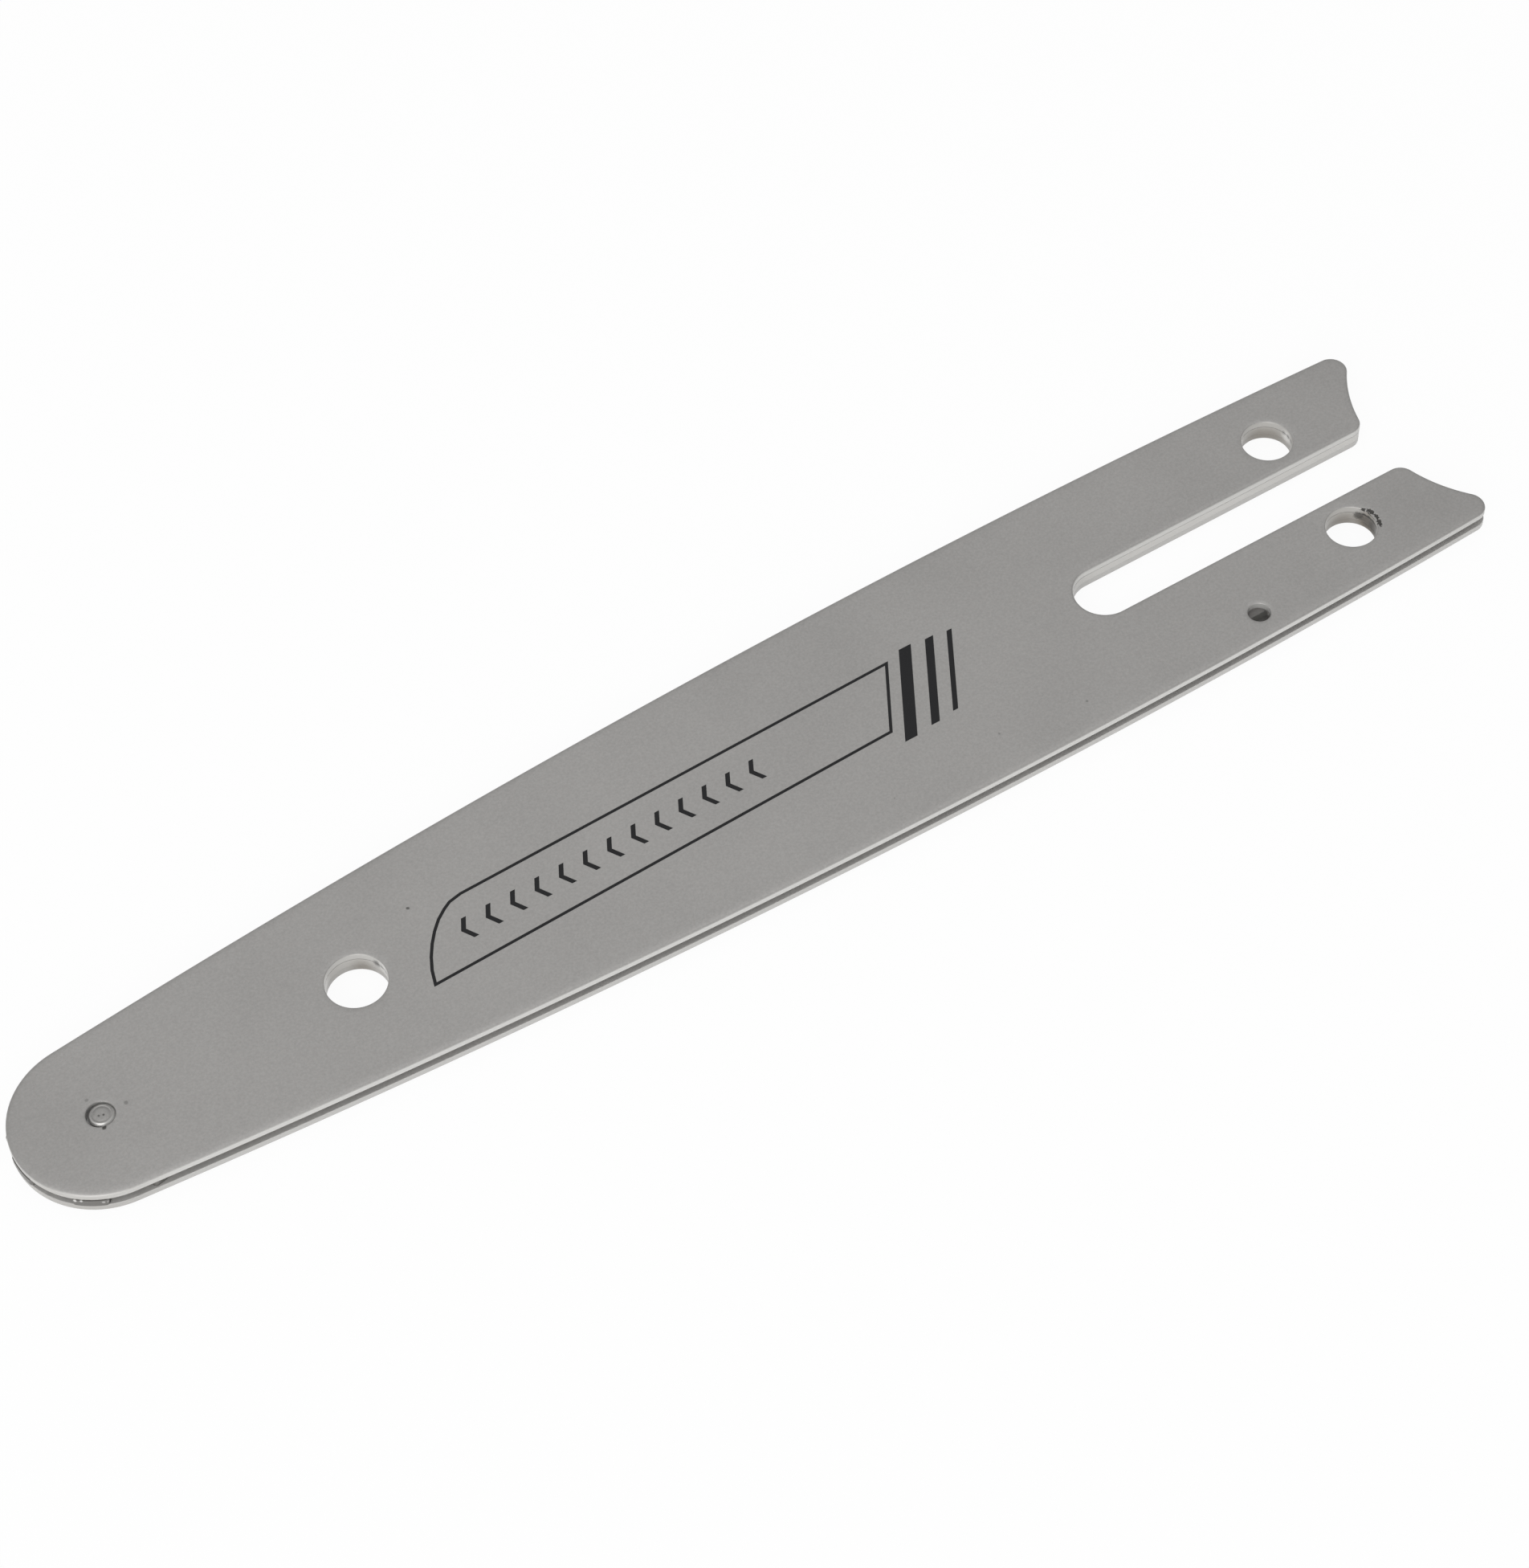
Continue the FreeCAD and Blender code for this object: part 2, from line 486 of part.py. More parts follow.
def nose_rivet():
    """A flush rivet: a shank with a countersunk head at each face of the bar and a punch mark in each head."""
    body = new_body("nose_rivet")
    sketch = new_sketch(body, "RivetProfile", "XZ_Plane")
    shank = size["rivet_diameter"] / 2
    head = size["rivet_head_diameter"] / 2
    dimple = size["dimple_diameter"] / 2
    depth = size["dimple_depth"]
    top = 2 * size["plate_thickness"] + size["groove_width"]
    sink = head - shank
    points = [
        (0, depth),
        (dimple - depth, depth),
        (dimple, 0),
        (head, 0),
        (shank, sink),
        (shank, top - sink),
        (head, top),
        (dimple, top),
        (dimple - depth, top - depth),
        (0, top - depth),
    ]
    sides = [line(sketch, first, last) for first, last in zip(points, points[1:] + points[:1])]
    for first, last in zip(sides, sides[1:] + sides[:1]):
        rule(sketch, "Coincident", first, END, last, START)
    places = [
        ("axis_low", 0, None, "Sizes.dimple_depth"),
        ("dish_low", 1, "Sizes.dimple_diameter / 2 - Sizes.dimple_depth", "Sizes.dimple_depth"),
        ("rim_low", 2, "Sizes.dimple_diameter / 2", None),
        ("head_low", 3, "Sizes.rivet_head_diameter / 2", None),
        ("neck_low", 4, "Sizes.rivet_diameter / 2", "(Sizes.rivet_head_diameter - Sizes.rivet_diameter) / 2"),
        (
            "neck_high",
            5,
            "Sizes.rivet_diameter / 2",
            f"{BAR_THICKNESS} - (Sizes.rivet_head_diameter - Sizes.rivet_diameter) / 2",
        ),
        ("head_high", 6, "Sizes.rivet_head_diameter / 2", BAR_THICKNESS),
        ("rim_high", 7, "Sizes.dimple_diameter / 2", BAR_THICKNESS),
        (
            "dish_high",
            8,
            "Sizes.dimple_diameter / 2 - Sizes.dimple_depth",
            f"{BAR_THICKNESS} - Sizes.dimple_depth",
        ),
        ("axis_high", 9, None, f"{BAR_THICKNESS} - Sizes.dimple_depth"),
    ]
    for name, number, across, up in places:
        side = sides[number]
        if across is None:
            rule(sketch, "PointOnObject", side, START, -2)
        else:
            rule(sketch, "DistanceX", *ORIGIN, side, START, points[number][0], name=f"{name}_x", expression=across)
        if up is None:
            rule(sketch, "PointOnObject", side, START, X_AXIS)
        else:
            rule(sketch, "DistanceY", *ORIGIN, side, START, points[number][1], name=f"{name}_z", expression=up)
    turned = body.newObject("PartDesign::Revolution", "RivetTurned")
    turned.Profile = sketch
    turned.ReferenceAxis = (sketch, ["V_Axis"])
    turned.Angle = 360
    body.Tip = turned
    doc.recompute()
    place_along_bar(body, "0", NOSE_CENTRE)
    return body


top = side_plate("top_side_plate")
place_along_bar(top, "Sizes.plate_thickness + Sizes.groove_width")
bottom = side_plate("bottom_side_plate")
place_along_bar(bottom, "Sizes.plate_thickness", angle_expression="180 deg", axis=(1, 0, 0))
pieces = [top, core_plate(), bottom, nose_sprocket(), sprocket_hub(), bearing_rollers(), nose_rivet()]
doc.recompute()

for item in doc.Objects:
    if "Invalid" in item.State or "Error" in item.State:
        raise RuntimeError(f"{item.Label} did not compute: {item.State}")
    if item.isDerivedFrom("Sketcher::SketchObject") and not item.FullyConstrained:
        raise RuntimeError(f"{item.Label} is not fully constrained")
for piece in pieces:
    if piece.Shape.isNull() or not piece.Shape.isValid():
        raise RuntimeError(f"{piece.Label} has no valid shape")

os.makedirs("parts", exist_ok=True)
for piece in pieces:
    piece.Shape.exportStep(os.path.join("parts", piece.Label + ".step"))
    box = piece.Shape.optimalBoundingBox()
    print(
        piece.Label,
        f"{len(piece.Shape.Solids)} solids, {piece.Shape.Volume:.2f} mm3,",
        f"X {box.XMin:.2f} {box.XMax:.2f} Y {box.YMin:.2f} {box.YMax:.2f} Z {box.ZMin:.2f} {box.ZMax:.2f}",
    )
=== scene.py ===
"""Looks of the chainsaw guide bar, built around its packed CAD model.

The side plates and the rivet are made again with rolled edges, punched rims and a pressed head. The core
plate, the sprocket and its bearing keep their CAD shape. Every piece gets a procedural steel, and the marking
is plain line work. What a user would change is in metres, as Blender keeps it, and the other sizes and places
are in millimetres, as on a drawing, unless a comment says otherwise.
"""

import math

import bmesh
import bpy
from mathutils import Matrix, Vector, noise
from mathutils.geometry import delaunay_2d_cdt
from mathutils.kdtree import KDTree


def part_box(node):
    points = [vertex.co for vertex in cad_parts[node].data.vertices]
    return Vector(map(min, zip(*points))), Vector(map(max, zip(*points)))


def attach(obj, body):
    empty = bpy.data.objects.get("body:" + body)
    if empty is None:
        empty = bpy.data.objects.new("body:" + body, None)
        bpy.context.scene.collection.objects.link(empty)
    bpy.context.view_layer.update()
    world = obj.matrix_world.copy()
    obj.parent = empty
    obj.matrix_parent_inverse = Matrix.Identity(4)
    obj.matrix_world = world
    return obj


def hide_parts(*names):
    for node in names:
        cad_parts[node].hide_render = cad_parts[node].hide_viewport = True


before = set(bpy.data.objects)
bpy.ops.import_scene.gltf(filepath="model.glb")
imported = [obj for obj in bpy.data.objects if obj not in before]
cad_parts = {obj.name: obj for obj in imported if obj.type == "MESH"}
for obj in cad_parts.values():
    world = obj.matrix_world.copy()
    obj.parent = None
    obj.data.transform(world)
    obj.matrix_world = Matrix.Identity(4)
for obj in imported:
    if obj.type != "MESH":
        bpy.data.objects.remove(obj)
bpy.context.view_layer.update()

bl_info = {
    "name": "Guide Bar Dressing",
    "version": (1, 0, 0),
    "blender": (4, 5, 0),
    "location": "View3D > Sidebar > Guide Bar",
    "description": "Dresses the packed guide bar with rolled edges, blasted steel and plain line marking",
    "category": "Object",
}

MM = 0.001

# The outline, in millimetres, from the middle of the bar. +X is the nose and +Y the rail nearest the camera.
NOSE_CENTRE_X = 94.3
NOSE_RADIUS = 11.5
RAIL_CENTRE = (-45.6, -1404.583)
RAIL_RADIUS = 1423.033
CORNER_CENTRE = (-103.6, 15.066)
CORNER_RADIUS = 2.2
HOLLOW_CENTRE_X = -121.895
HOLLOW_RADIUS = 21.5
MOUTH_CENTRE = (-99.05, 6.3)
MOUTH_RADIUS = 2.2
SLOT_END_X = -54.3
SLOT_HALF_WIDTH = 4.1

HANGING_HOLE = (59.0, 0.0, 4.0)
NEAR_TAIL_HOLE = (-88.2, 9.35, 3.5)
FAR_TAIL_HOLE = (NEAR_TAIL_HOLE[0], -NEAR_TAIL_HOLE[1], NEAR_TAIL_HOLE[2])
OIL_HOLE = (-69.0, 14.45, 1.55)
RIVET_SEAT = (NOSE_CENTRE_X, 0.0, 1.84)

# Facet lengths along the outline, facets round the holes, and facets over a rounded edge.
NOSE_STEP = 0.3
RAIL_STEP = 1.2
CORNER_STEP = 0.2
HOLLOW_STEP = 0.5
SLOT_STEP = 3.0
HOLE_FACETS = 96
BURRED_HOLE_FACETS = 224
OIL_HOLE_FACETS = 64
ROUND_STEPS = 6

# Rings down the wall of the near tail hole and round its rim, which carry the torn patch.
BURRED_WALL_RINGS = 9
BURRED_ROLL_RINGS = 14

# Spacing of the points that fill a flat face.
FACE_GRID = 3.0

# Rims of the two smallest holes: how far their rounding reaches in and down, their roll-off and its reach.
RIVET_SEAT_RIM = (0.08, 0.08, 0.02, 0.4)
OIL_HOLE_RIM = (0.05, 0.05, 0.09, 0.6)

# Up to this share of the groove's rounding, an edge takes the material of the plate's inner face.
INNER_SHARE = 0.45

# A small nick stands out of the top plate's nose: its angle round the nose centre, and its reach along it.
NICK_ANGLE = math.radians(-18.0)
NICK_HALF_ANGLE = math.radians(1.3)
NICK_HEIGHT = 0.12


# What a user would change


def length(name, description, millimetres):
    return bpy.props.FloatProperty(
        name=name, description=description, default=millimetres * MM, min=0.0, unit="LENGTH", precision=6
    )


def share(name, description, value):
    return bpy.props.FloatProperty(
        name=name, description=description, default=value, min=0.0, max=1.0, subtype="FACTOR"
    )


def strength(name, description, value):
    return bpy.props.FloatProperty(name=name, description=description, default=value, min=0.0)


def colour(name, description, value):
    return bpy.props.FloatVectorProperty(
        name=name, description=description, default=value, size=3, min=0.0, max=1.0, subtype="COLOR"
    )


def turn(name, description, degrees):
    return bpy.props.FloatProperty(
        name=name, description=description, default=math.radians(degrees), subtype="ANGLE", unit="ROTATION"
    )


class GuideBarEdges(bpy.types.PropertyGroup):
    """How the plates' edges and holes are rounded."""

    rail_round: length("Rail rounding", "How far the rolled outer edge of rails and nose reaches in", 0.45)
    rail_drop: length("Rail edge drop", "How far that rolled edge reaches down", 0.3)
    rail_roll: length("Rail roll-off", "How far the face falls away towards the outer edge", 0.08)
    rail_roll_reach: length("Roll-off reach", "How far in from the edge the face starts to fall away", 1.2)
    groove_round: length("Groove rounding", "Radius of the rails' inner edges, on the groove's side", 0.08)
    slot_round: length("Slot rounding", "Rolled edge of the slot and the hollow ends", 0.3)
    slot_reach: length("Slot roll-off reach", "The roll-off's reach along the slot and the hollow ends", 0.7)
    lower_share: share("Lower plate's share", "The lower plate's outer rounding against the upper's", 0.4)
    hole_round: length("Hole rounding", "Radius of the punched rim of each hole", 0.12)
    hole_roll: length("Hole roll-off", "How far the face falls away towards a hole", 0.06)
    hole_roll_reach: length("Hole roll-off reach", "Width of the soft rim round a hole", 0.85)
    seam_round: length("Seam rounding", "Radius of the edges that meet the core plate", 0.07)
    burr_depth: length("Burr depth", "Depth of the torn patch beside the near tail hole", 0.16)
    tooth_bevel: length("Tooth bevel", "Bevel of the sprocket's edges", 0.12)
    roller_bevel: length("Bearing bevel", "Bevel of the rollers' and the hub's edges", 0.1)


class GuideBarFinish(bpy.types.PropertyGroup):
    """Colours and roughness of the steels and the ink."""

    face_colour: colour("Face", "Blasted faces of the side plates", (0.31, 0.303, 0.294))
    wall_colour: colour("Ground edges", "Ground rails, hole walls and slot walls", (0.57, 0.565, 0.548))
    # The lower plate's ground edges are a darker copy of the upper's, painted shade.
    shaded_lower_wall_colour: colour("Lower ground edges, shaded", "The ground edges' colour on the lower plate, painted darker as shade", (0.49, 0.483, 0.468))
    inner_colour: colour("Inner faces", "Bare faces of the plates inside the groove", (0.36, 0.352, 0.34))
    core_colour: colour("Core plate", "Rolled sheet of the core plate", (0.34, 0.33, 0.32))
    core_wall_colour: colour("Core edges", "Cut edges of the core plate", (0.55, 0.54, 0.52))
    # The sprocket is painted dark to match the shade of the groove that it sits in.
    shaded_tooth_colour: colour("Sprocket", "Hardened sprocket", (0.15, 0.145, 0.137))
    # Painted highlights: glints on the tooth tips and the lit ends of the hole walls.
    highlight_colour: colour("Painted highlights", "Painted highlights on tooth tips and hole walls", (0.86, 0.85, 0.83))
    tarnish_colour: colour("Tarnish", "Brownish tarnish on the walls of the holes", (0.2, 0.175, 0.145))
    bearing_colour: colour("Bearing", "Ground hub and rollers", (0.52, 0.52, 0.52))
    rivet_colour: colour("Rivet", "Pressed head of the nose rivet", (0.27, 0.264, 0.255))
    # The same dark also paints the shadow in the seam round the rivet.
    stain_and_shade_colour: colour("Stains", "Oxide and dirt in pits, specks and torn steel", (0.03, 0.028, 0.025))
    ink_colour: colour("Ink", "Printed marking", (0.014, 0.014, 0.015))
    face_roughness: share("Face roughness", "Roughness of the blasted faces", 0.5)
    wall_roughness: share("Edge roughness", "Roughness of the ground edges", 0.38)
    mottle: strength("Mottle", "Strength of the tone's fine variation", 1.2)


class GuideBarMarking(bpy.types.PropertyGroup):
    """Plain line marking on the upper face."""

    line_width: length("Line width", "Width of the frame's line", 0.42)
    ink_height: length("Ink height", "How far the ink stands on the steel", 0.012)
    chevron_count: bpy.props.IntProperty(
        name="Chevrons", description="Chevrons in the frame", default=13, min=0, max=40
    )
    chevron_pitch: length("Chevron pitch", "Distance from one chevron to the next", 3.6)
    chevron_height: length("Chevron height", "Height of a chevron across the bar", 3.4)
    chevron_stroke: length("Chevron stroke", "Width of a chevron's stroke along the bar", 0.7)


class GuideBarStudio(bpy.types.PropertyGroup):
    """Camera, floor and lights."""

    azimuth: turn("Camera azimuth", "Where the camera stands round the bar", 149.423)
    elevation: turn("Camera elevation", "Camera above the horizon", 52.394)
    roll: turn("Camera roll", "Tilt of the picture", -2.55)
    distance: length("Camera distance", "Camera to the point that it looks at", 504.604)
    lens: bpy.props.FloatProperty(
        name="Lens", description="Focal length on a 36 mm sensor", default=90.682, min=10.0, unit="CAMERA"
    )
    world_level: share("World level", "Light from all round", 0.62)
    floor_white: share("Floor white", "How far the camera and reflections see the floor as plain white", 0.93)
    key_level: strength("Key level", "Brightness of the large soft box", 0.8)
    front_level: strength("Front level", "Brightness of the front light", 3.0)
    side_level: strength("Side level", "Brightness of the side light", 0.3)


def edges():
    return bpy.context.scene.guide_bar_edges


def finish():
    return bpy.context.scene.guide_bar_finish


def marking():
    return bpy.context.scene.guide_bar_marking


def studio():
    return bpy.context.scene.guide_bar_studio


# Outline


def heading(start, end):
    """The direction from one point to another, as an angle."""
    return math.atan2(end[1] - start[1], end[0] - start[0])


def swept(centre, radius, start, end, step, side=1, rail=(0.0, 0.0)):
    """Points along an arc, without its last, as (x, y, outward x, outward y, rail).

    side is -1 where the steel is outside the arc. rail is 1 where the groove is open and 0 where the plates
    are flush, given here for the arc's start and end.
    """
    count = max(4, math.ceil(radius * abs(end - start) / step))
    points = []
    for i in range(count):
        t = i / count
        a = start + (end - start) * t
        x, y = math.cos(a), math.sin(a)
        share_here = rail[0] + (rail[1] - rail[0]) * t
        points.append((centre[0] + radius * x, centre[1] + radius * y, side * x, side * y, share_here))
    return points


def plate_outline():
    """The side plates' closed outline, from the nose tip along the +Y rail to the slot's end and back."""
    nose = (NOSE_CENTRE_X, 0.0)
    hollow = (HOLLOW_CENTRE_X, 0.0)
    to_nose = heading(RAIL_CENTRE, nose)
    to_corner = heading(RAIL_CENTRE, CORNER_CENTRE)
    corner_turn = heading(hollow, CORNER_CENTRE)
    mouth_turn = heading(hollow, MOUTH_CENTRE)
    groove_open, groove_ends = (1.0, 1.0), (1.0, 0.0)

    half = swept(nose, NOSE_RADIUS, 0.0, to_nose, NOSE_STEP, rail=groove_open)
    half += swept(RAIL_CENTRE, RAIL_RADIUS, to_nose, to_corner, RAIL_STEP, rail=groove_open)
    corner_end = corner_turn + math.pi
    half += swept(CORNER_CENTRE, CORNER_RADIUS, to_corner, corner_end, CORNER_STEP, rail=groove_ends)
    half += swept(hollow, HOLLOW_RADIUS, corner_turn, mouth_turn, HOLLOW_STEP, side=-1)
    half += swept(MOUTH_CENTRE, MOUTH_RADIUS, mouth_turn + math.pi, 1.5 * math.pi, CORNER_STEP)
    slot_length = SLOT_END_X - MOUTH_CENTRE[0]
    slot_count = math.ceil(slot_length / SLOT_STEP)
    slot_xs = [MOUTH_CENTRE[0] + slot_length * i / slot_count for i in range(slot_count)]
    half += [(x, SLOT_HALF_WIDTH, 0.0, -1.0, 0.0) for x in slot_xs]
    half += swept((SLOT_END_X, 0.0), SLOT_HALF_WIDTH, math.pi / 2, 0.0, CORNER_STEP, side=-1)
    half.append((SLOT_END_X + SLOT_HALF_WIDTH, 0.0, -1.0, 0.0, 0.0))
    return half + [(x, -y, nx, -ny, rail) for x, y, nx, ny, rail in reversed(half[1:-1])]


def hole_outline(hole, facets=HOLE_FACETS):
    """A hole's closed outline, with points as in swept."""
    x, y, radius = hole
    angles = [2 * math.pi * i / facets for i in range(facets)]
    ways = [(math.cos(a), math.sin(a)) for a in angles]
    return [(x + radius * cos, y + radius * sin, -cos, -sin, 1.0) for cos, sin in ways]


def nicked(outline):
    """The outline with the small nick that stands out of the nose."""
    out = []
    for x, y, nx, ny, rail in outline:
        off = abs(math.atan2(y, x - NOSE_CENTRE_X) - NICK_ANGLE) / NICK_HALF_ANGLE
        rise = NICK_HEIGHT * (1 - off) if x > NOSE_CENTRE_X and off < 1 else 0.0
        out.append((x + nx * rise, y + ny * rise, nx, ny, rail))
    return out


def edge_rings(thickness, inward, downward, roll, reach, inner, wall_rings=1, roll_rings=4):
    """Rings of a plate's edge, as (distance in from the wall, height over the inner face), outer face last.

    The outer edge is rolled over a quarter of an ellipse, inward by downward, and the face falls away towards
    it by roll within reach. inner is the radius of the edge on the core plate's side.
    """

    def fall(inset):
        return roll * (1 - min(1.0, inset / reach)) ** 2

    rings = []
    for i in range(ROUND_STEPS + 1):
        swing = math.pi / 2 * i / ROUND_STEPS
        rings.append((inner * (1 - math.sin(swing)), inner * (1 - math.cos(swing))))
    top = thickness - downward - fall(0.0)
    rings += [(0.0, inner + (top - inner) * i / wall_rings) for i in range(1, wall_rings + 1)]
    for i in range(1, ROUND_STEPS + 1):
        swing = math.pi / 2 * i / ROUND_STEPS
        inset = inward * (1 - math.cos(swing))
        rings.append((inset, thickness - downward * (1 - math.sin(swing)) - fall(inset)))
    for i in range(1, roll_rings + 1):
        inset = inward + (reach - inward) * i / roll_rings
        rings.append((inset, thickness - fall(inset)))
    return rings


def varied(flush, rail):
    """Rings that change from flush ones to rail ones with the outline's own share."""
    return [(a[0], a[1], b[0] - a[0], b[1] - a[1]) for a, b in zip(flush, rail)]


# Mesh helpers


def heights(node):
    """A CAD node's lowest and highest place at rest."""
    low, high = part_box(node)
    return low.z / MM, high.z / MM


def new_piece(name, bm, smooth=True):
    """Turns a bmesh into an object in the scene, with its faces turned outwards."""
    bmesh.ops.recalc_face_normals(bm, faces=bm.faces)
    mesh = bpy.data.meshes.new(name)
    bm.to_mesh(mesh)
    bm.free()
    mesh.polygons.foreach_set("use_smooth", [smooth] * len(mesh.polygons))
    piece = bpy.data.objects.new(name, mesh)
    bpy.context.scene.collection.objects.link(piece)
    return piece


def keep_flats_flat(piece):
    """Weights the shading by face area, so that rolled edges don't bend the shading of the flat faces."""
    weighted = piece.modifiers.new("Flat faces", "WEIGHTED_NORMAL")
    weighted.mode = "FACE_AREA"
    weighted.weight = 100
    weighted.keep_sharp = True


def smoothstep(low, high, value):
    """0 below low, 1 above high, and a smooth change between them."""
    t = max(0.0, min(1.0, (value - low) / (high - low)))
    return t * t * (3 - 2 * t)


def bridge(bm, first, second):
    """Faces between two rings that have as many points."""
    for i in range(len(first)):
        j = (i + 1) % len(first)
        bm.faces.new((first[i], first[j], second[j], second[i]))


def close_face(bm, rings):
    """Closes a flat face between its outline, the first ring, and its holes, with even triangles over it."""
    height = rings[0][0].co.z
    verts = [vert for ring in rings for vert in ring]
    places = [vert.co.xy / MM for vert in verts]
    loops, start = [], 0
    for ring in rings:
        loops.append(list(range(start, start + len(ring))))
        start += len(ring)
    edge_tree = KDTree(len(places))
    for i, place in enumerate(places):
        edge_tree.insert((*place, 0.0), i)
    edge_tree.balance()
    low_x, high_x = min(p.x for p in places), max(p.x for p in places)
    low_y, high_y = min(p.y for p in places), max(p.y for p in places)
    across = math.ceil((high_y - low_y) / FACE_GRID)
    along = math.ceil((high_x - low_x) / FACE_GRID)
    for i in range(1, along):
        for j in range(1, across):
            point = Vector((low_x + (i + 0.5 * (j % 2)) * FACE_GRID, low_y + j * FACE_GRID))
            if edge_tree.find((*point, 0.0))[2] > 0.5 * FACE_GRID:
                places.append(point)
    points, _, faces, origins, _, owners = delaunay_2d_cdt(places, [], loops, 0, 1e-6)
    made = {}
    for face, owner in zip(faces, owners):
        if owner != [0]:
            continue
        corners = []
        for i in face:
            if i not in made:
                known = [k for k in origins[i] if k < len(verts)]
                where = (points[i].x * MM, points[i].y * MM, height)
                made[i] = verts[known[0]] if known else bm.verts.new(where)
            corners.append(made[i])
        bm.faces.new(corners)


def build_plate(name, inner_z, outward, loops, torn=None):
    """A plate from its loops, each an outline and its rings. outward is 1 for the upper plate, else -1.

    The faces against the core plate, with their rounded edges, take the piece's second material.
    """
    bm = bmesh.new()
    scuff_and_shade = bm.verts.layers.float.new("scuff_and_shade")
    inner, outer = [], []
    for outline, rings in loops:
        previous = None
        for ring_inset, ring_height, more_inset, more_height in rings:
            ring = []
            for x, y, nx, ny, rail in outline:
                inset = ring_inset + more_inset * rail
                px, py, pz, mark = x - nx * inset, y - ny * inset, ring_height + more_height * rail, 0.0
                if torn:
                    pz, mark = torn(px, py, pz)
                vert = bm.verts.new((px * MM, py * MM, (inner_z + outward * pz) * MM))
                vert[scuff_and_shade] = mark
                ring.append(vert)
            if previous:
                bridge(bm, previous, ring)
            else:
                inner.append(ring)
            previous = ring
        outer.append(previous)
    for rings in (inner, outer):
        close_face(bm, rings)
    for face in bm.faces:
        middle = (face.calc_center_median().z / MM - inner_z) * outward
        face.material_index = 1 if middle < edges().groove_round / MM * INNER_SHARE else 0
    return new_piece(name, bm)


# Chips torn out of the face beside the near tail hole: each one's angle round the hole in degrees, its
# middle's distance from the hole's wall, and half its extent in both.
TORN_CHIPS = [(206, 0.14, 5.0, 0.2), (191, 0.36, 9.5, 0.33), (174, 0.46, 7.5, 0.24), (158, 0.38, 10.5, 0.31)]

# A chip fades out between these shares of its extent, and noise moves that edge by up to this share.
CHIP_EDGE = (0.7, 1.2)
CHIP_RAGGEDNESS = 0.7

# How far the torn patch can reach out from the hole's wall, and down from the plate's face.
TORN_REACH = 2.0
TORN_EDGE = 0.2

# The burnt wall under the chips: the angles in degrees over which it comes and goes, the heights over which
# its darker bands end below and start above, how far noise moves all of these, and the parts of its mark.
BURNT_COMES = (148, 160)
BURNT_GOES = (205, 222)
BURNT_BELOW = (0.2, 0.42)
BURNT_ABOVE = (0.66, 0.84)
BURNT_SWAY = 10
BURNT_RAGGEDNESS = 0.2
BURNT_BANDS = 0.52
BURNT_BASE = 0.2
BURNT_CLOUDS = 0.3

# The slow and the fast noise of the torn patch, per millimetre across the bar and along its height.
WOBBLE_ACROSS = 2.1
WOBBLE_UP = 2.0
GRAIN_ACROSS = 5.3
GRAIN_UP = 3.0
GRAIN_START = 7.0


def torn_patch(thickness):
    """The torn patch beside the near tail hole, as a function from a point to its new height and its mark."""
    hole_x, hole_y, radius = NEAR_TAIL_HOLE
    depth = edges().burr_depth / MM

    def torn(x, y, height):
        out = math.hypot(x - hole_x, y - hole_y) - radius
        if out > TORN_REACH:
            return height, 0.0
        angle = math.degrees(math.atan2(y - hole_y, x - hole_x)) % 360
        wobble = noise.noise(Vector((x * WOBBLE_ACROSS, y * WOBBLE_ACROSS, height * WOBBLE_UP)))
        grain = noise.noise(Vector((x * GRAIN_ACROSS, y * GRAIN_ACROSS, GRAIN_START + height * GRAIN_UP)))
        if height > thickness - TORN_EDGE:
            mark = 0.0
            for chip_angle, chip_out, half_angle, half_out in TORN_CHIPS:
                off = math.hypot((angle - chip_angle) / half_angle, (out - chip_out) / half_out)
                mark = max(mark, 1 - smoothstep(*CHIP_EDGE, off + CHIP_RAGGEDNESS * grain))
            return height - depth * mark, mark
        swayed = angle + BURNT_SWAY * wobble
        window = smoothstep(*BURNT_COMES, swayed) * (1 - smoothstep(*BURNT_GOES, swayed))
        ragged = height + BURNT_RAGGEDNESS * grain
        bands = max(smoothstep(*BURNT_ABOVE, ragged), 1 - smoothstep(*BURNT_BELOW, ragged))
        return height, window * (BURNT_BANDS * bands + BURNT_BASE + BURNT_CLOUDS * wobble)

    return torn


# Materials


def set_inputs(tree, node, inputs):
    """Gives inputs of a node their values, or links them from sockets."""
    for key, value in inputs.items():
        if isinstance(value, bpy.types.NodeSocket):
            tree.links.new(value, node.inputs[key])
        else:
            node.inputs[key].default_value = value


def add_node(tree, kind, inputs=None, **settings):
    """Adds a node. An input is given a value, or a socket to be linked from."""
    node = tree.nodes.new(kind)
    for key, value in settings.items():
        setattr(node, key, value)
    set_inputs(tree, node, inputs or {})
    return node


def combine(tree, operation, *values):
    """The output of a Math node over up to three values or sockets."""
    return add_node(tree, "ShaderNodeMath", dict(enumerate(values)), operation=operation).outputs[0]


def centred(tree, value):
    """A noise value moved so that it lies about 0."""
    return combine(tree, "SUBTRACT", value, 0.5)


def ramp(tree, value, low, high, to_low=0.0, to_high=1.0):
    """Value mapped smoothly from one range to another."""
    inputs = {"Value": value, "From Min": low, "From Max": high, "To Min": to_low, "To Max": to_high}
    return add_node(tree, "ShaderNodeMapRange", inputs, interpolation_type="SMOOTHSTEP").outputs[0]


def blend_colours(tree, factor, first, second):
    """Two colours mixed. A colour is a socket, or red, green and blue."""
    first, second = (
        value if isinstance(value, bpy.types.NodeSocket) else (*value, 1.0) for value in (first, second)
    )
    return add_node(tree, "ShaderNodeMix", {0: factor, 6: first, 7: second}, data_type="RGBA").outputs[2]


def tinted(tree, base, tone):
    """A colour multiplied by a value that changes over the surface."""
    inputs = {0: tuple(base), "Scale": tone}
    return add_node(tree, "ShaderNodeVectorMath", inputs, operation="SCALE").outputs[0]


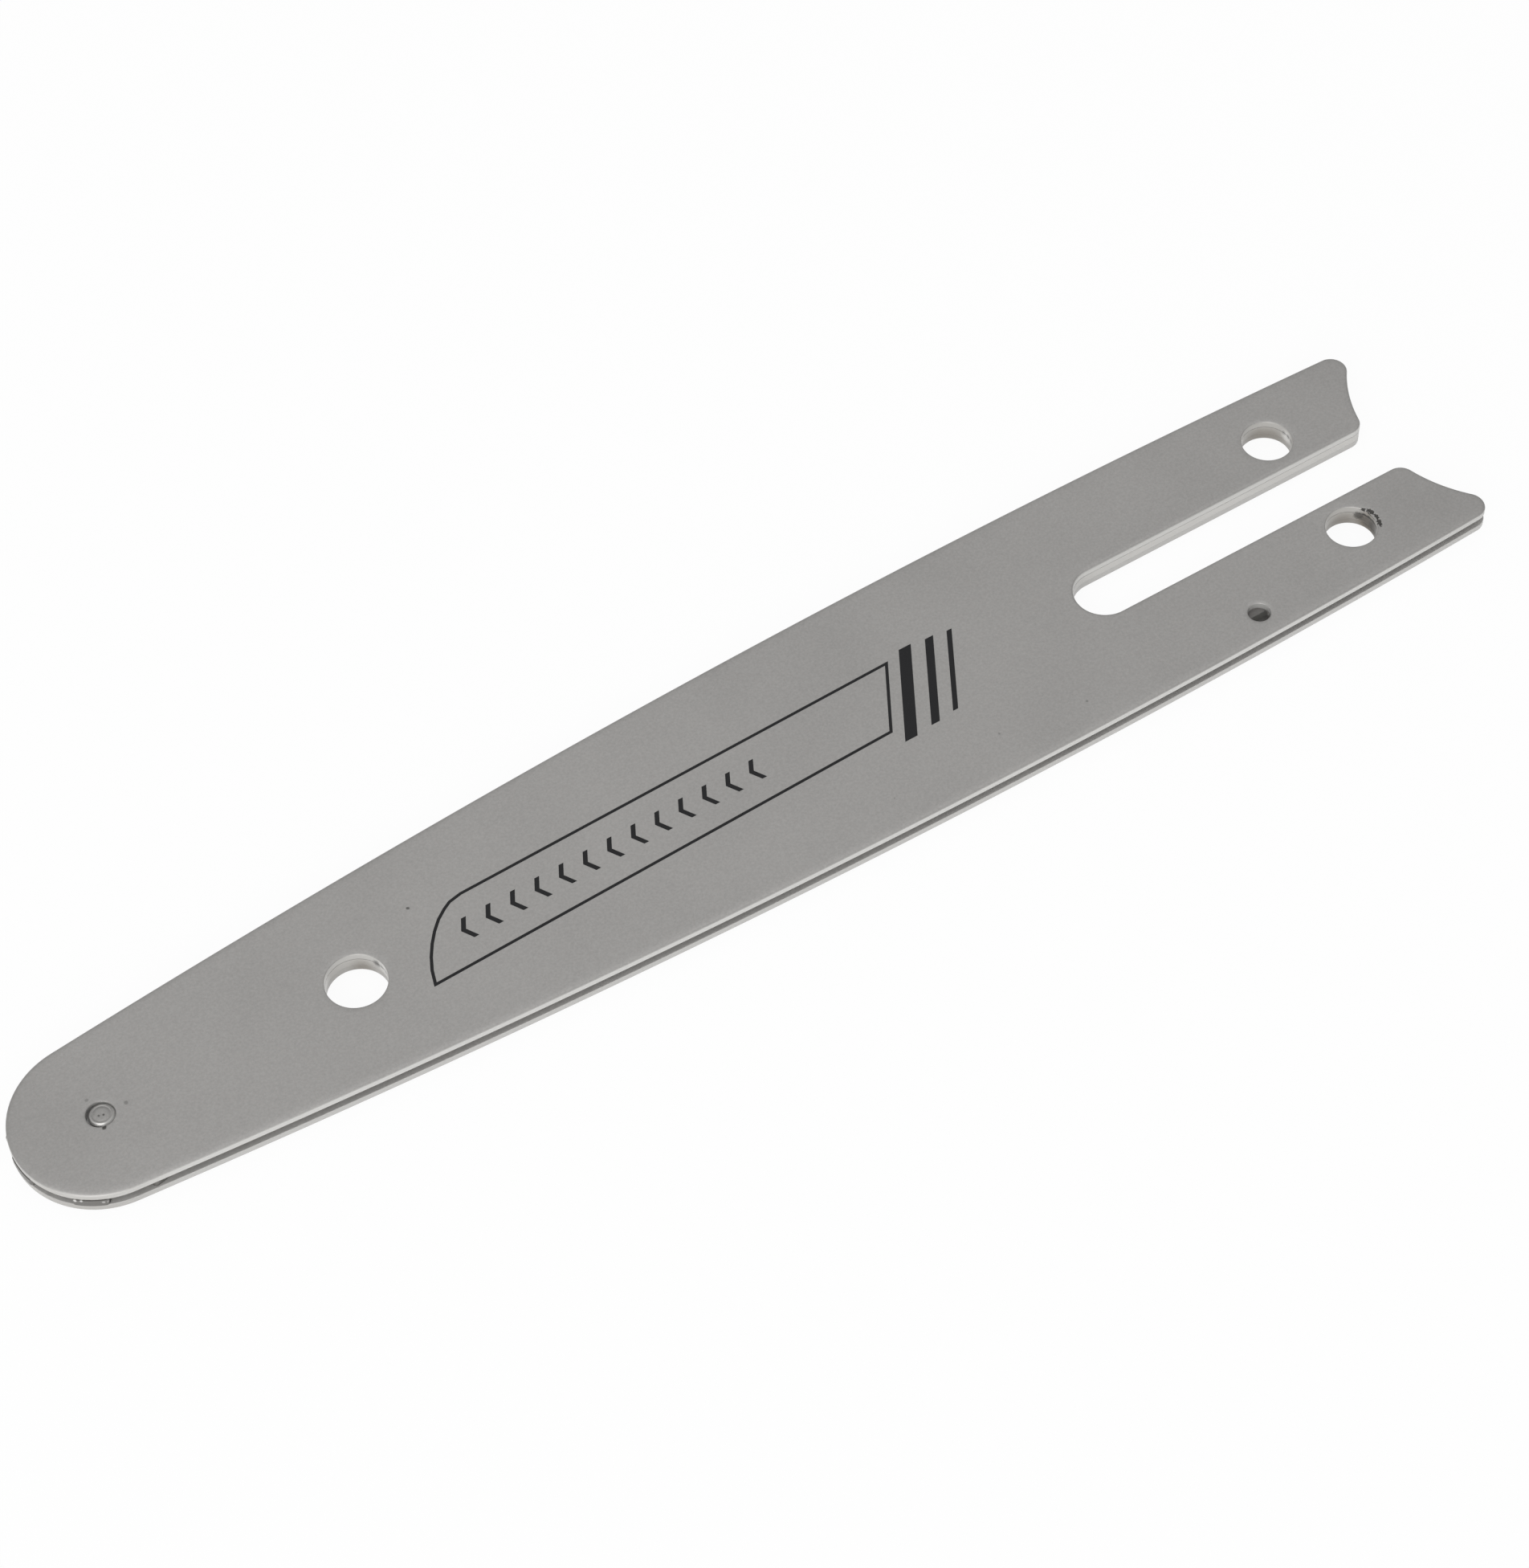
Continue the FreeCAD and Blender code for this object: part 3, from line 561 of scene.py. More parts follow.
def noise_texture(tree, vector, scale, detail=2.0, roughness=0.5):
    """Smooth noise, from 0 to 1, whose scale is in waves per metre."""
    inputs = {"Vector": vector, "Scale": scale, "Detail": detail, "Roughness": roughness}
    return add_node(tree, "ShaderNodeTexNoise", inputs).outputs["Fac"]


# How far the grain and the clouds sway the tone, and the clouds the roughness, from end to end.
GRAIN_TONE = 0.34
CLOUD_TONE = 0.16
CLOUD_ROUGHNESS = 0.2

# Scale of the grinding lines' noise along each axis, so that the lines run along the walls.
LINE_STRETCH = (0.05, 0.05, 1.0)

# Waves per metre of a patch's ragged edge.
RAGGED_SCALE = 3500.0


def blasted_grain(group, given):
    """Tone and roughness with fine grain and larger clouds, and the grain's height."""
    place = add_node(group, "ShaderNodeTexCoord").outputs["Object"]
    grain_scale = combine(group, "DIVIDE", 1.0, given["Grain Size"])
    cloud_scale = combine(group, "DIVIDE", 1.0, given["Cloud Size"])
    grain = noise_texture(group, place, grain_scale, detail=4.0, roughness=0.65)
    clouds = centred(group, noise_texture(group, place, cloud_scale, detail=3.0))
    fine = combine(group, "MULTIPLY", centred(group, grain), GRAIN_TONE)
    broad = combine(group, "MULTIPLY", clouds, CLOUD_TONE)
    sway = combine(group, "MULTIPLY", combine(group, "ADD", fine, broad), given["Contrast"])
    return {
        "Tone": combine(group, "ADD", sway, 1.0),
        "Height": grain,
        "Roughness Shift": combine(group, "MULTIPLY", clouds, CLOUD_ROUGHNESS),
    }


def ground_edge(group, given):
    """Where a piece shows a cut or ground wall and not a face, with the fine lines that run along it."""
    where = add_node(group, "ShaderNodeTexCoord").outputs
    facing = add_node(group, "ShaderNodeSeparateXYZ", {0: where["Normal"]}).outputs[2]
    wall = ramp(group, combine(group, "ABSOLUTE", facing), given["Wall Starts"], given["Wall Full"])
    stretched = add_node(group, "ShaderNodeMapping", {"Vector": where["Object"], "Scale": LINE_STRETCH})
    line_scale = combine(group, "DIVIDE", 1.0, given["Line Size"])
    lines = centred(group, noise_texture(group, stretched.outputs[0], line_scale))
    sway = combine(group, "MULTIPLY", lines, given["Line Depth"])
    return {"Wall": wall, "Lines": combine(group, "ADD", sway, 1.0)}


def ragged_patch(group, given):
    """A ragged round patch about a point, 1 inside and 0 outside."""
    place = add_node(group, "ShaderNodeTexCoord").outputs["Object"]
    far = add_node(group, "ShaderNodeVectorMath", {0: place, 1: given["Centre"]}, operation="DISTANCE")
    ragged = centred(group, noise_texture(group, place, RAGGED_SCALE))
    reach = combine(group, "MULTIPLY_ADD", ragged, given["Raggedness"], far.outputs["Value"])
    inner = combine(group, "SUBTRACT", given["Radius"], given["Softness"])
    return {"Patch": ramp(group, reach, inner, given["Radius"], 1.0, 0.0)}


# The effects that materials share: what fills each group, and its inputs' defaults, with lengths in metres.
SHARED_EFFECTS = {
    "Blasted Grain": (blasted_grain, {"Grain Size": 0.0004, "Cloud Size": 0.012, "Contrast": 0.5}),
    "Ground Edge": (
        ground_edge,
        {"Wall Starts": 0.84, "Wall Full": 0.2, "Line Size": 0.00012, "Line Depth": 0.12},
    ),
    "Round Patch": (
        ragged_patch,
        {"Centre": (0.0, 0.0, 0.0), "Radius": 0.001, "Softness": 0.0002, "Raggedness": 0.0002},
    ),
}


def new_group(name):
    """Makes the shader node group of a shared effect, with named sockets."""
    fill, inputs = SHARED_EFFECTS[name]
    group = bpy.data.node_groups.new(name, "ShaderNodeTree")
    for key, default in inputs.items():
        kind = "NodeSocketFloat" if isinstance(default, float) else "NodeSocketVector"
        group.interface.new_socket(key, in_out="INPUT", socket_type=kind).default_value = default
    outputs = fill(group, group.nodes.new("NodeGroupInput").outputs)
    for key in outputs:
        group.interface.new_socket(key, in_out="OUTPUT", socket_type="NodeSocketFloat")
    set_inputs(group, group.nodes.new("NodeGroupOutput"), outputs)
    return group


def shared_effect(tree, name, values):
    """The outputs of a shared effect, placed in a material with its own values."""
    group = bpy.data.node_groups.get(name) or new_group(name)
    return add_node(tree, "ShaderNodeGroup", values, node_tree=group).outputs


def round_patch(tree, x, y, z, radius, softness=0.6, raggedness=0.7):
    """Where a round patch lies. softness and raggedness are shares of its radius."""
    values = {
        "Centre": (x * MM, y * MM, z * MM),
        "Radius": radius * MM,
        "Softness": radius * softness * MM,
        "Raggedness": radius * raggedness * MM,
    }
    return shared_effect(tree, "Round Patch", values)[0]


def cleared(owner):
    """The emptied node tree of a material or a world."""
    owner.use_nodes = True
    owner.node_tree.nodes.clear()
    return owner.node_tree


def new_material(name):
    """A material with a Principled shader, as the material, its tree and the shader."""
    material = bpy.data.materials.new(name)
    tree = cleared(material)
    shader = tree.nodes.new("ShaderNodeBsdfPrincipled")
    add_node(tree, "ShaderNodeOutputMaterial", {"Surface": shader.outputs[0]})
    return material, tree, shader


# The size of the clouds in the steel's tone, and the depth of its grain.
STEEL_CLOUDS = 14
GRAIN_DEPTH = 0.03

# The marks of scuffs and of painted shade at which dirt and shade start and are full, and their share there.
SCUFF_AND_SHADE_RANGE = (0.1, 0.75)
SCUFF_AND_SHADE_SHARE = 0.92


def steel(
    name,
    face,
    wall,
    stains=(),
    bright=(),
    tarnish=(),
    worn=(),
    scuffed_and_shaded=False,
    grain_size=0.35,
    bump=0.12,
    metallic=0.5,
    walls=(0.84, 0.2),
):
    """Blasted or rolled steel with ground walls. stains are (x, y, z, radius, strength, ...).

    bright and tarnish are places like stains, on walls only, that carry painted highlights or have turned
    brown, and the spots after them are painted glints, bright on any surface. walls are the heights of the
    normal at which a face starts to count as a wall, and at which it is all wall.
    """
    look = finish()
    material, tree, shader = new_material(name)
    grain_values = {"Grain Size": grain_size * MM, "Cloud Size": STEEL_CLOUDS * MM, "Contrast": look.mottle}
    grain = shared_effect(tree, "Blasted Grain", grain_values)
    edge = shared_effect(tree, "Ground Edge", {"Wall Starts": walls[0], "Wall Full": walls[1]})
    wall_tone = tinted(tree, wall, edge["Lines"])
    face_tone = tinted(tree, face, grain["Tone"])
    surface = blend_colours(tree, edge["Wall"], face_tone, wall_tone)
    # The bright layers are painted highlights: the lit ends of hole walls, and glints on the teeth.
    layers = (
        (tarnish, look.tarnish_colour, edge["Wall"]),
        (bright, look.highlight_colour, edge["Wall"]),
        (worn, look.highlight_colour, 1.0),
        (stains, look.stain_and_shade_colour, 1.0),
    )
    for spots, spot_colour, where in layers:
        for x, y, z, radius, amount, *shape in spots:
            patch = combine(tree, "MULTIPLY", round_patch(tree, x, y, z, radius, *shape), amount)
            surface = blend_colours(tree, combine(tree, "MULTIPLY", patch, where), surface, spot_colour)
    # Scuff marks darken the torn steel, and round the rivet's head they paint dirt with its shadow.
    if scuffed_and_shaded:
        scuff_and_shade = add_node(tree, "ShaderNodeAttribute", attribute_name="scuff_and_shade", attribute_type="GEOMETRY")
        dirt = ramp(tree, scuff_and_shade.outputs["Fac"], *SCUFF_AND_SHADE_RANGE, 0.0, SCUFF_AND_SHADE_SHARE)
        surface = blend_colours(tree, dirt, surface, look.stain_and_shade_colour)
    rough = ramp(tree, edge["Wall"], 0.0, 1.0, look.face_roughness, look.wall_roughness)
    rough = combine(tree, "ADD", rough, grain["Roughness Shift"])
    relief = {"Strength": bump, "Distance": GRAIN_DEPTH * MM, "Height": grain["Height"]}
    normal = add_node(tree, "ShaderNodeBump", relief).outputs[0]
    set_inputs(tree, shader, {"Base Color": surface, "Metallic": metallic})
    set_inputs(tree, shader, {"Roughness": rough, "Normal": normal})
    return material


# The tones of the grain between which the ink starts to wear and is worn most, and its share worn there.
INK_WEAR = (1.05, 1.3)
INK_WORN_SHARE = 0.35
INK_ROUGHNESS = 0.6


def ink(name):
    """Printed ink that is worn where the grain stands up."""
    look = finish()
    material, tree, shader = new_material(name)
    grain_values = {"Grain Size": 0.25 * MM, "Cloud Size": 6 * MM, "Contrast": 1.0}
    grain = shared_effect(tree, "Blasted Grain", grain_values)
    worn = ramp(tree, grain["Tone"], *INK_WEAR, 0.0, INK_WORN_SHARE)
    surface = blend_colours(tree, worn, look.ink_colour, look.face_colour)
    rough = combine(tree, "ADD", grain["Roughness Shift"], INK_ROUGHNESS)
    set_inputs(tree, shader, {"Base Color": surface, "Roughness": rough, "Specular IOR Level": 0.15})
    return material


def give(piece, materials, body):
    """Gives a new piece its materials and the body that it rides on."""
    for material in materials:
        piece.data.materials.append(material)
    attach(piece, body)


# Edges of the CAD nodes that are sharper than this are broken.
BROKEN_EDGE_ANGLE = math.radians(50)


def dress_cad_node(name, material, bevel):
    """Gives a CAD node its finish, and breaks its sharp edges."""
    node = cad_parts[name]
    node.data.materials.clear()
    node.data.materials.append(material)
    if bevel:
        broken = node.modifiers.new("Broken edges", "BEVEL")
        broken.width = bevel
        broken.segments = 3
        broken.limit_method = "ANGLE"
        broken.angle_limit = BROKEN_EDGE_ANGLE
        keep_flats_flat(node)


# Places of spots

# On the walls of the holes and on the edge of the nose: the middle of each, its radius and strength, and its
# softness and raggedness as shares of the radius. In each hole the wall away from the camera is brown in the
# middle, and brighter at its ends with a painted highlight where light falls, and the edge of the nose is a
# little duller. The stains are three on the burnt wall below the torn patch, and three along a seam in each
# of two holes. The oil hole's own stain darkens what shows through it.
WALL_TARNISH = [
    (56.6, -3.2, 0.5, 2.5, 0.65, 0.95, 0.1),
    (-90.05, 6.4, 0.9, 2.1, 0.5, 0.95, 0.1),
    (-88.7, 5.9, 0.9, 2.0, 0.4, 0.95, 0.1),
    (-91.2, -11.2, 0.9, 2.0, 0.45, 0.95, 0.1),
    (-90.05, -12.3, 0.9, 2.1, 0.5, 0.95, 0.1),
    (-88.7, -12.8, 0.9, 2.0, 0.4, 0.95, 0.1),
    (-91.7, 8.9, 1.2, 2.7, 0.9, 0.6, 0.2),
    (-88.2, 9.35, 1.7, 4.9, 0.3, 0.2, 0.0),
    (-88.2, -9.35, 1.7, 4.9, 0.3, 0.2, 0.0),
    (59.0, 0.0, 1.7, 5.3, 0.2, 0.2, 0.0),
    (102.0, 7.5, 1.7, 14.0, 0.22, 0.9, 0.0),
]
# Painted highlights on the lit ends of those walls.
WALL_PAINTED_HIGHLIGHTS = [
    (62.4, -2.2, 1.9, 2.1, 0.5, 0.8, 0.2),
    (55.0, -0.3, 2.3, 1.5, 0.5, 0.8, 0.3),
    (-85.6, 6.9, 2.0, 1.9, 0.5, 0.8, 0.2),
    (-85.5, -11.8, 2.0, 1.8, 0.5, 0.8, 0.2),
    (-91.7, -9.3, 2.0, 1.4, 0.65, 0.8, 0.3),
]
OIL_STAIN = (-69.0, 14.5, 1.2, 2.1, 0.66, 0.15, 0.03)
WALL_STAINS = [
    (-91.1, 7.4, 1.9, 0.95, 0.75, 0.6, 0.6),
    (-91.65, 8.75, 1.5, 1.45, 0.5, 0.6, 0.5),
    (-91.6, 10.2, 1.4, 1.6, 0.7, 0.6, 0.5),
    (55.3, -1.55, 2.3, 0.75, 0.65, 0.7, 0.5),
    (55.06, -0.7, 2.3, 0.55, 0.4, 0.8, 0.4),
    (55.0, 0.15, 2.3, 0.5, 0.35, 0.8, 0.4),
    (-91.65, -9.95, 2.3, 0.55, 0.45, 0.8, 0.4),
    (-91.7, -9.05, 2.3, 0.55, 0.5, 0.8, 0.4),
    (-91.5, -8.15, 2.3, 0.5, 0.45, 0.8, 0.4),
]

# On the upper face, as above but without the height: three specks by the rivet, four along the bar, and a
# faint shade over the nose and over the end of the near tail leg.
FACE_STAINS = [
    (94.78, 1.95, 0.42, 0.9),
    (90.96, 0.24, 0.36, 0.42),
    (94.82, -2.7, 0.34, 0.32),
    (48.25, -6.05, 0.3, 0.75),
    (-29.0, 12.2, 0.22, 0.35),
    (-41.5, 14.1, 0.24, 0.4),
    (-12.0, 13.4, 0.16, 0.3),
    (103.5, -3.0, 16.0, 0.06, 0.95, 0.0),
    (-101.0, 13.0, 17.0, 0.075, 0.95, 0.0),
]

# Dirt and painted shade in the seam round the rivet, on the upper face: a thin ring, and a crescent of
# painted shadow on the nose's side.
RIVET_DIRT_AND_SHADOW = [
    (NOSE_CENTRE_X, 0.0, 1.94, 0.3, 0.06, 0.04),
    (NOSE_CENTRE_X + 0.18, -0.08, 1.98, 0.18, 0.12, 0.07),
]

# Two dark dots in the middle of the rivet's head.
RIVET_DOTS = [(94.59, 0.08, 0.2, 0.7), (94.02, 0.26, 0.22, 0.8)]

# Painted glints on the teeth: bright spots in place of light caught at their corners, where they are with
# the sprocket at rest.
TOOTH_GLINTS = [
    (102.19, 8.43, 2.1, 0.27, 0.6, 0.4, 0.5),
    (101.58, 8.96, 2.14, 0.22, 0.6, 0.4, 0.5),
    (99.36, 10.38, 1.9, 0.28, 0.35, 0.6, 0.5),
    (98.85, 10.62, 1.8, 0.24, 0.3, 0.6, 0.5),
]


def on_face(spots, face):
    """Spots that are given without their height, at the height of a face."""
    return [(x, y, face, *rest) for x, y, *rest in spots]


# Operators


def side_plates(thickness):
    """The upper and the lower side plate, as new pieces."""
    size = edges()
    seam = size.seam_round / MM
    fall = size.rail_roll / MM

    def outer_rings(amount):
        inward, downward = amount * size.rail_round / MM, amount * size.rail_drop / MM
        groove = size.groove_round / MM
        rail = edge_rings(thickness, inward, downward, fall, size.rail_roll_reach / MM, groove)
        slot = amount * size.slot_round / MM
        return varied(edge_rings(thickness, slot, slot, fall, size.slot_reach / MM, seam), rail)

    def hole_rings(rim, **counts):
        rings = edge_rings(thickness, *rim, seam, **counts)
        return varied(rings, rings)

    hole_round = size.hole_round / MM
    punched_rim = (hole_round, hole_round, size.hole_roll / MM, size.hole_roll_reach / MM)
    punched = hole_rings(punched_rim)
    burred = hole_rings(punched_rim, wall_rings=BURRED_WALL_RINGS, roll_rings=BURRED_ROLL_RINGS)
    oil = hole_rings(OIL_HOLE_RIM)
    shared = [
        (hole_outline(HANGING_HOLE), punched),
        (hole_outline(FAR_TAIL_HOLE), punched),
        (hole_outline(RIVET_SEAT), hole_rings(RIVET_SEAT_RIM, roll_rings=2)),
    ]
    x, y, radius = OIL_HOLE
    oil_near, oil_far = ((hole_outline((x, side * y, radius), OIL_HOLE_FACETS), oil) for side in (1, -1))
    near_burred = (hole_outline(NEAR_TAIL_HOLE, BURRED_HOLE_FACETS), burred)
    near_plain = (hole_outline(NEAR_TAIL_HOLE), punched)

    outline = plate_outline()
    upper_loops = [(nicked(outline), outer_rings(1.0)), *shared, near_burred, oil_near]
    lower_loops = [(outline, outer_rings(size.lower_share)), *shared, near_plain, oil_far]
    upper_inner, lower_inner = heights("top_side_plate")[0], heights("bottom_side_plate")[1]
    upper = build_plate("upper_side_plate", upper_inner, 1, upper_loops, torn_patch(thickness))
    return upper, build_plate("lower_side_plate", lower_inner, -1, lower_loops)


def plate_steels(face):
    """The steels of the upper plate's outside, of the lower plate's, and of both plates' inner faces."""
    look = finish()
    walls = {"bright": WALL_PAINTED_HIGHLIGHTS, "tarnish": WALL_TARNISH}
    # The rivet's ring and crescent among these stains are dirt with painted shadow.
    stains = [*on_face(FACE_STAINS, face), OIL_STAIN, *WALL_STAINS, *on_face(RIVET_DIRT_AND_SHADOW, face)]
    upper = steel(
        "Blasted plate steel", look.face_colour, look.wall_colour, stains, scuffed_and_shaded=True, **walls
    )
    # The lower plate differs only in its ground edges, painted darker as shade.
    lower = steel(
        "Blasted plate steel, lower, shaded edges", look.face_colour, look.shaded_lower_wall_colour, WALL_STAINS, **walls
    )
    inner = steel(
        "Bare inner steel",
        look.inner_colour,
        look.wall_colour,
        [OIL_STAIN],
        grain_size=0.5,
        metallic=0.1,
        walls=(0.8, 0.3),
    )
    return upper, lower, inner


class GUIDEBAR_OT_side_plates(bpy.types.Operator):
    """Makes both side plates with rolled rails, punched holes and the torn patch beside the near tail hole"""

    bl_idname = "guide_bar.side_plates"
    bl_label = "Side Plates"
    bl_options = {"REGISTER", "UNDO"}

    def execute(self, context):
        low, high = heights("top_side_plate")
        # The ink's height is taken off the plates, so that the marking stays inside the solids' box.
        upper, lower = side_plates(high - low - marking().ink_height / MM)
        upper_steel, lower_steel, inner_steel = plate_steels(high)
        for piece, material, node in (
            (upper, upper_steel, "top_side_plate"),
            (lower, lower_steel, "bottom_side_plate"),
        ):
            keep_flats_flat(piece)
            give(piece, [material, inner_steel], "bar")
            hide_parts(node)
        return {"FINISHED"}


class GUIDEBAR_OT_core_plate(bpy.types.Operator):
    """Gives the core plate its rolled steel and its cut edges"""

    bl_idname = "guide_bar.core_plate"
    bl_label = "Core Plate"
    bl_options = {"REGISTER", "UNDO"}

    def execute(self, context):
        look = finish()
        core_steel = steel(
            "Rolled core steel",
            look.core_colour,
            look.core_wall_colour,
            [OIL_STAIN, *WALL_STAINS],
            bright=WALL_PAINTED_HIGHLIGHTS,
            tarnish=WALL_TARNISH,
            grain_size=0.6,
            metallic=0.4,
        )
        dress_cad_node("core_plate", core_steel, edges().seam_round)
        return {"FINISHED"}


class GUIDEBAR_OT_nose_sprocket(bpy.types.Operator):
    """Gives the nose sprocket its hardened steel, painted dark as shade, with painted glints on its teeth"""

    bl_idname = "guide_bar.nose_sprocket"
    bl_label = "Nose Sprocket"
    bl_options = {"REGISTER", "UNDO"}

    def execute(self, context):
        # The teeth's colour is painted shade, as dark as the groove round them.
        shaded_colour_of_teeth = finish().shaded_tooth_colour
        # The bright spots on the teeth are painted glints.
        hardened = steel(
            "Hardened sprocket steel", shaded_colour_of_teeth, shaded_colour_of_teeth, grain_size=0.2, worn=TOOTH_GLINTS
        )
        dress_cad_node("nose_sprocket", hardened, edges().tooth_bevel)
        return {"FINISHED"}


class GUIDEBAR_OT_nose_bearing(bpy.types.Operator):
    """Gives the hub and the rollers inside the nose their ground bearing steel"""

    bl_idname = "guide_bar.nose_bearing"
    bl_label = "Nose Bearing"
    bl_options = {"REGISTER", "UNDO"}

    def execute(self, context):
        colour_of_races = finish().bearing_colour
        ground = steel(
            "Ground bearing steel", colour_of_races, colour_of_races, grain_size=0.15, bump=0.04, metallic=0.9
        )
        for name in ("sprocket_hub", "bearing_rollers"):
            dress_cad_node(name, ground, edges().roller_bevel)
        return {"FINISHED"}


# The rivet's pressed head, from its middle outwards: radius, and depth below the face of the bar.
RIVET_HEAD = [
    (0.1, 0.07),
    (0.3, 0.045),
    (0.7, 0.05),
    (0.96, 0.07),
    (1.08, 0.14),
    (1.15, 0.14),
    (1.21, 0.05),
    (1.27, 0.02),
    (1.34, 0.045),
    (1.42, 0.12),
    (1.5, 0.21),
    (1.57, 0.28),
    (1.65, 0.33),
    (1.7, 0.42),
    (1.4, 0.8),
]
RIVET_FACETS = 96

# The rivet stands this far off the middle of its seat.
RIVET_OFFSET = (-0.1, -0.02)

# How much deeper the head's raised ring is on the side away from the camera, and the radii between which that
# comes and goes.
RIVET_TILT = 0.07
RIVET_TILT_COMES = (0.95, 1.3)
RIVET_TILT_GOES = (1.5, 1.7)

# The dirt and painted shade in the seam round the head: the radii over which it comes, its mean mark, how
# much more painted shadow it has on its thickest side, and where that is.
RIVET_SEAM = (1.36, 1.52)
RIVET_SEAM_DIRT_AND_SHADE = 0.34
RIVET_SEAM_SHADOW = 0.16
RIVET_SHADOW_TURN = math.radians(15)

# The head is out of round by up to this share of its radius, in this many waves per millimetre.
RIVET_BRUISE = 0.03
RIVET_BRUISE_SCALE = 1.7


def pressed_rivet(low, high):
    """The rivet, as rings from the middle of its upper head over its side to the middle of its lower one."""
    bm = bmesh.new()
    scuff_and_shade = bm.verts.layers.float.new("scuff_and_shade")
    profile = [(radius, high - depth, -1) for radius, depth in RIVET_HEAD]
    profile += [(radius, low + depth, 1) for radius, depth in reversed(RIVET_HEAD)]
    rings = []
    for radius, z, inwards in profile:
        sunk = RIVET_TILT * smoothstep(*RIVET_TILT_COMES, radius) * (1 - smoothstep(*RIVET_TILT_GOES, radius))
        ring = []
        for i in range(RIVET_FACETS):
            angle = 2 * math.pi * i / RIVET_FACETS
            cos, sin = math.cos(angle), math.sin(angle)
            place = Vector((radius * cos, radius * sin, z))
            bruise = RIVET_BRUISE * noise.noise(place * RIVET_BRUISE_SCALE)
            x = NOSE_CENTRE_X + RIVET_OFFSET[0] + radius * (1 + bruise) * cos
            y = RIVET_OFFSET[1] + radius * (1 + bruise) * sin
            lean = z + inwards * sunk * (0.5 - 0.5 * sin)
            vert = bm.verts.new((x * MM, y * MM, lean * MM))
            # The seam's dark is dirt with painted shadow, heavier on one side.
            dirt = RIVET_SEAM_DIRT_AND_SHADE + RIVET_SEAM_SHADOW * math.cos(angle + RIVET_SHADOW_TURN)
            vert[scuff_and_shade] = smoothstep(*RIVET_SEAM, radius) * dirt
            ring.append(vert)
        rings.append(ring)
    for first, second in zip(rings, rings[1:]):
        bridge(bm, first, second)
    for end in (rings[0], rings[-1]):
        bm.faces.new(end)
    return new_piece("nose_rivet_pressed", bm)


class GUIDEBAR_OT_nose_rivet(bpy.types.Operator):
    """Makes the nose rivet, with the pressed rings of its head at both faces of the bar"""

    bl_idname = "guide_bar.nose_rivet"
    bl_label = "Nose Rivet"
    bl_options = {"REGISTER", "UNDO"}

    def execute(self, context):
        low, high = heights("nose_rivet")
        piece = pressed_rivet(low, high)
        look = finish()
        # The head's slopes take the bright colour of the ground edges, a painted highlight for the head's lit
        # crescent.
        pressed = steel(
            "Pressed rivet steel",
            look.rivet_colour,
            look.wall_colour,
            on_face(RIVET_DOTS, high),
            scuffed_and_shaded=True,
            grain_size=0.25,
            walls=(0.92, 0.62),
        )
        give(piece, [pressed], "bar")
        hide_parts("nose_rivet")
        return {"FINISHED"}


# The marking's frame: its corners and the points that its curved end runs through.
FRAME_LINE = [
    (-23.4, -5.6),
    (41.6, -4.35),
    (43.4, -4.0),
    (44.5, -3.4),
    (45.9, -2.4),
    (47.2, -1.1),
    (48.4, 0.4),
    (49.5, 2.1),
    (50.4, 3.9),
    (51.1, 6.0),
    (-17.6, 4.2),
]

# No corner of the line's outside reaches further than half its width divided by this.
MITRE_LIMIT = 0.35

# Slanted bars beside the frame: where each crosses the bar's middle line, its width and its half height. All
# lean by the same shift along the bar for each millimetre across it.
SLANTED_BARS = [(-22.1, 1.9, 6.6), (-26.2, 1.3, 6.2), (-29.6, 0.8, 5.8)]
BAR_SLANT = 0.59

# Where the first chevron stands along the bar, the line across the bar that all stand on, as its place at the
# middle of the bar and its slope, and how far each one's point stands out as a share of its half height.
CHEVRONS_START = 43.5
CHEVRON_LINE = (-0.3, 0.024)
CHEVRON_POINT = 0.55

# The share of the ink's height that is sunk in the steel.
INK_SUNK = 0.5


def stroke_solid(bm, polygon, low, high):
    """A flat solid from a polygon."""
    bottom = [bm.verts.new((x * MM, y * MM, low)) for x, y in polygon]
    top = [bm.verts.new((x * MM, y * MM, high)) for x, y in polygon]
    bridge(bm, bottom, top)
    bm.faces.new(top)
    bm.faces.new(list(reversed(bottom)))


def framed_line(bm, points, width, low, high):
    """A closed line of even width through points, as one flat ring with mitred corners."""
    count = len(points)
    inner, outer = [], []
    for i, (x, y) in enumerate(points):
        before = Vector((x - points[i - 1][0], y - points[i - 1][1])).normalized()
        after = Vector((points[(i + 1) % count][0] - x, points[(i + 1) % count][1] - y)).normalized()
        mitre = Vector((-(before.y + after.y), before.x + after.x)).normalized()
        reach = width / 2 / max(MITRE_LIMIT, mitre.dot(Vector((-before.y, before.x))))
        outer.append((x + mitre.x * reach, y + mitre.y * reach))
        inner.append((x - mitre.x * reach, y - mitre.y * reach))
    rings = [
        [bm.verts.new((x * MM, y * MM, z)) for x, y in side]
        for side, z in ((outer, low), (outer, high), (inner, high), (inner, low))
    ]
    for first, second in zip(rings, rings[1:] + rings[:1]):
        bridge(bm, first, second)


def chevron(x, lines):
    """The outline of a chevron, whose point is towards the nose."""
    y = CHEVRON_LINE[0] + CHEVRON_LINE[1] * x
    half = lines.chevron_height / MM / 2
    stroke = lines.chevron_stroke / MM
    tip = x + CHEVRON_POINT * half
    return [
        (tip, y),
        (x, y + half),
        (x - stroke, y + half),
        (tip - stroke, y),
        (x - stroke, y - half),
        (x, y - half),
    ]


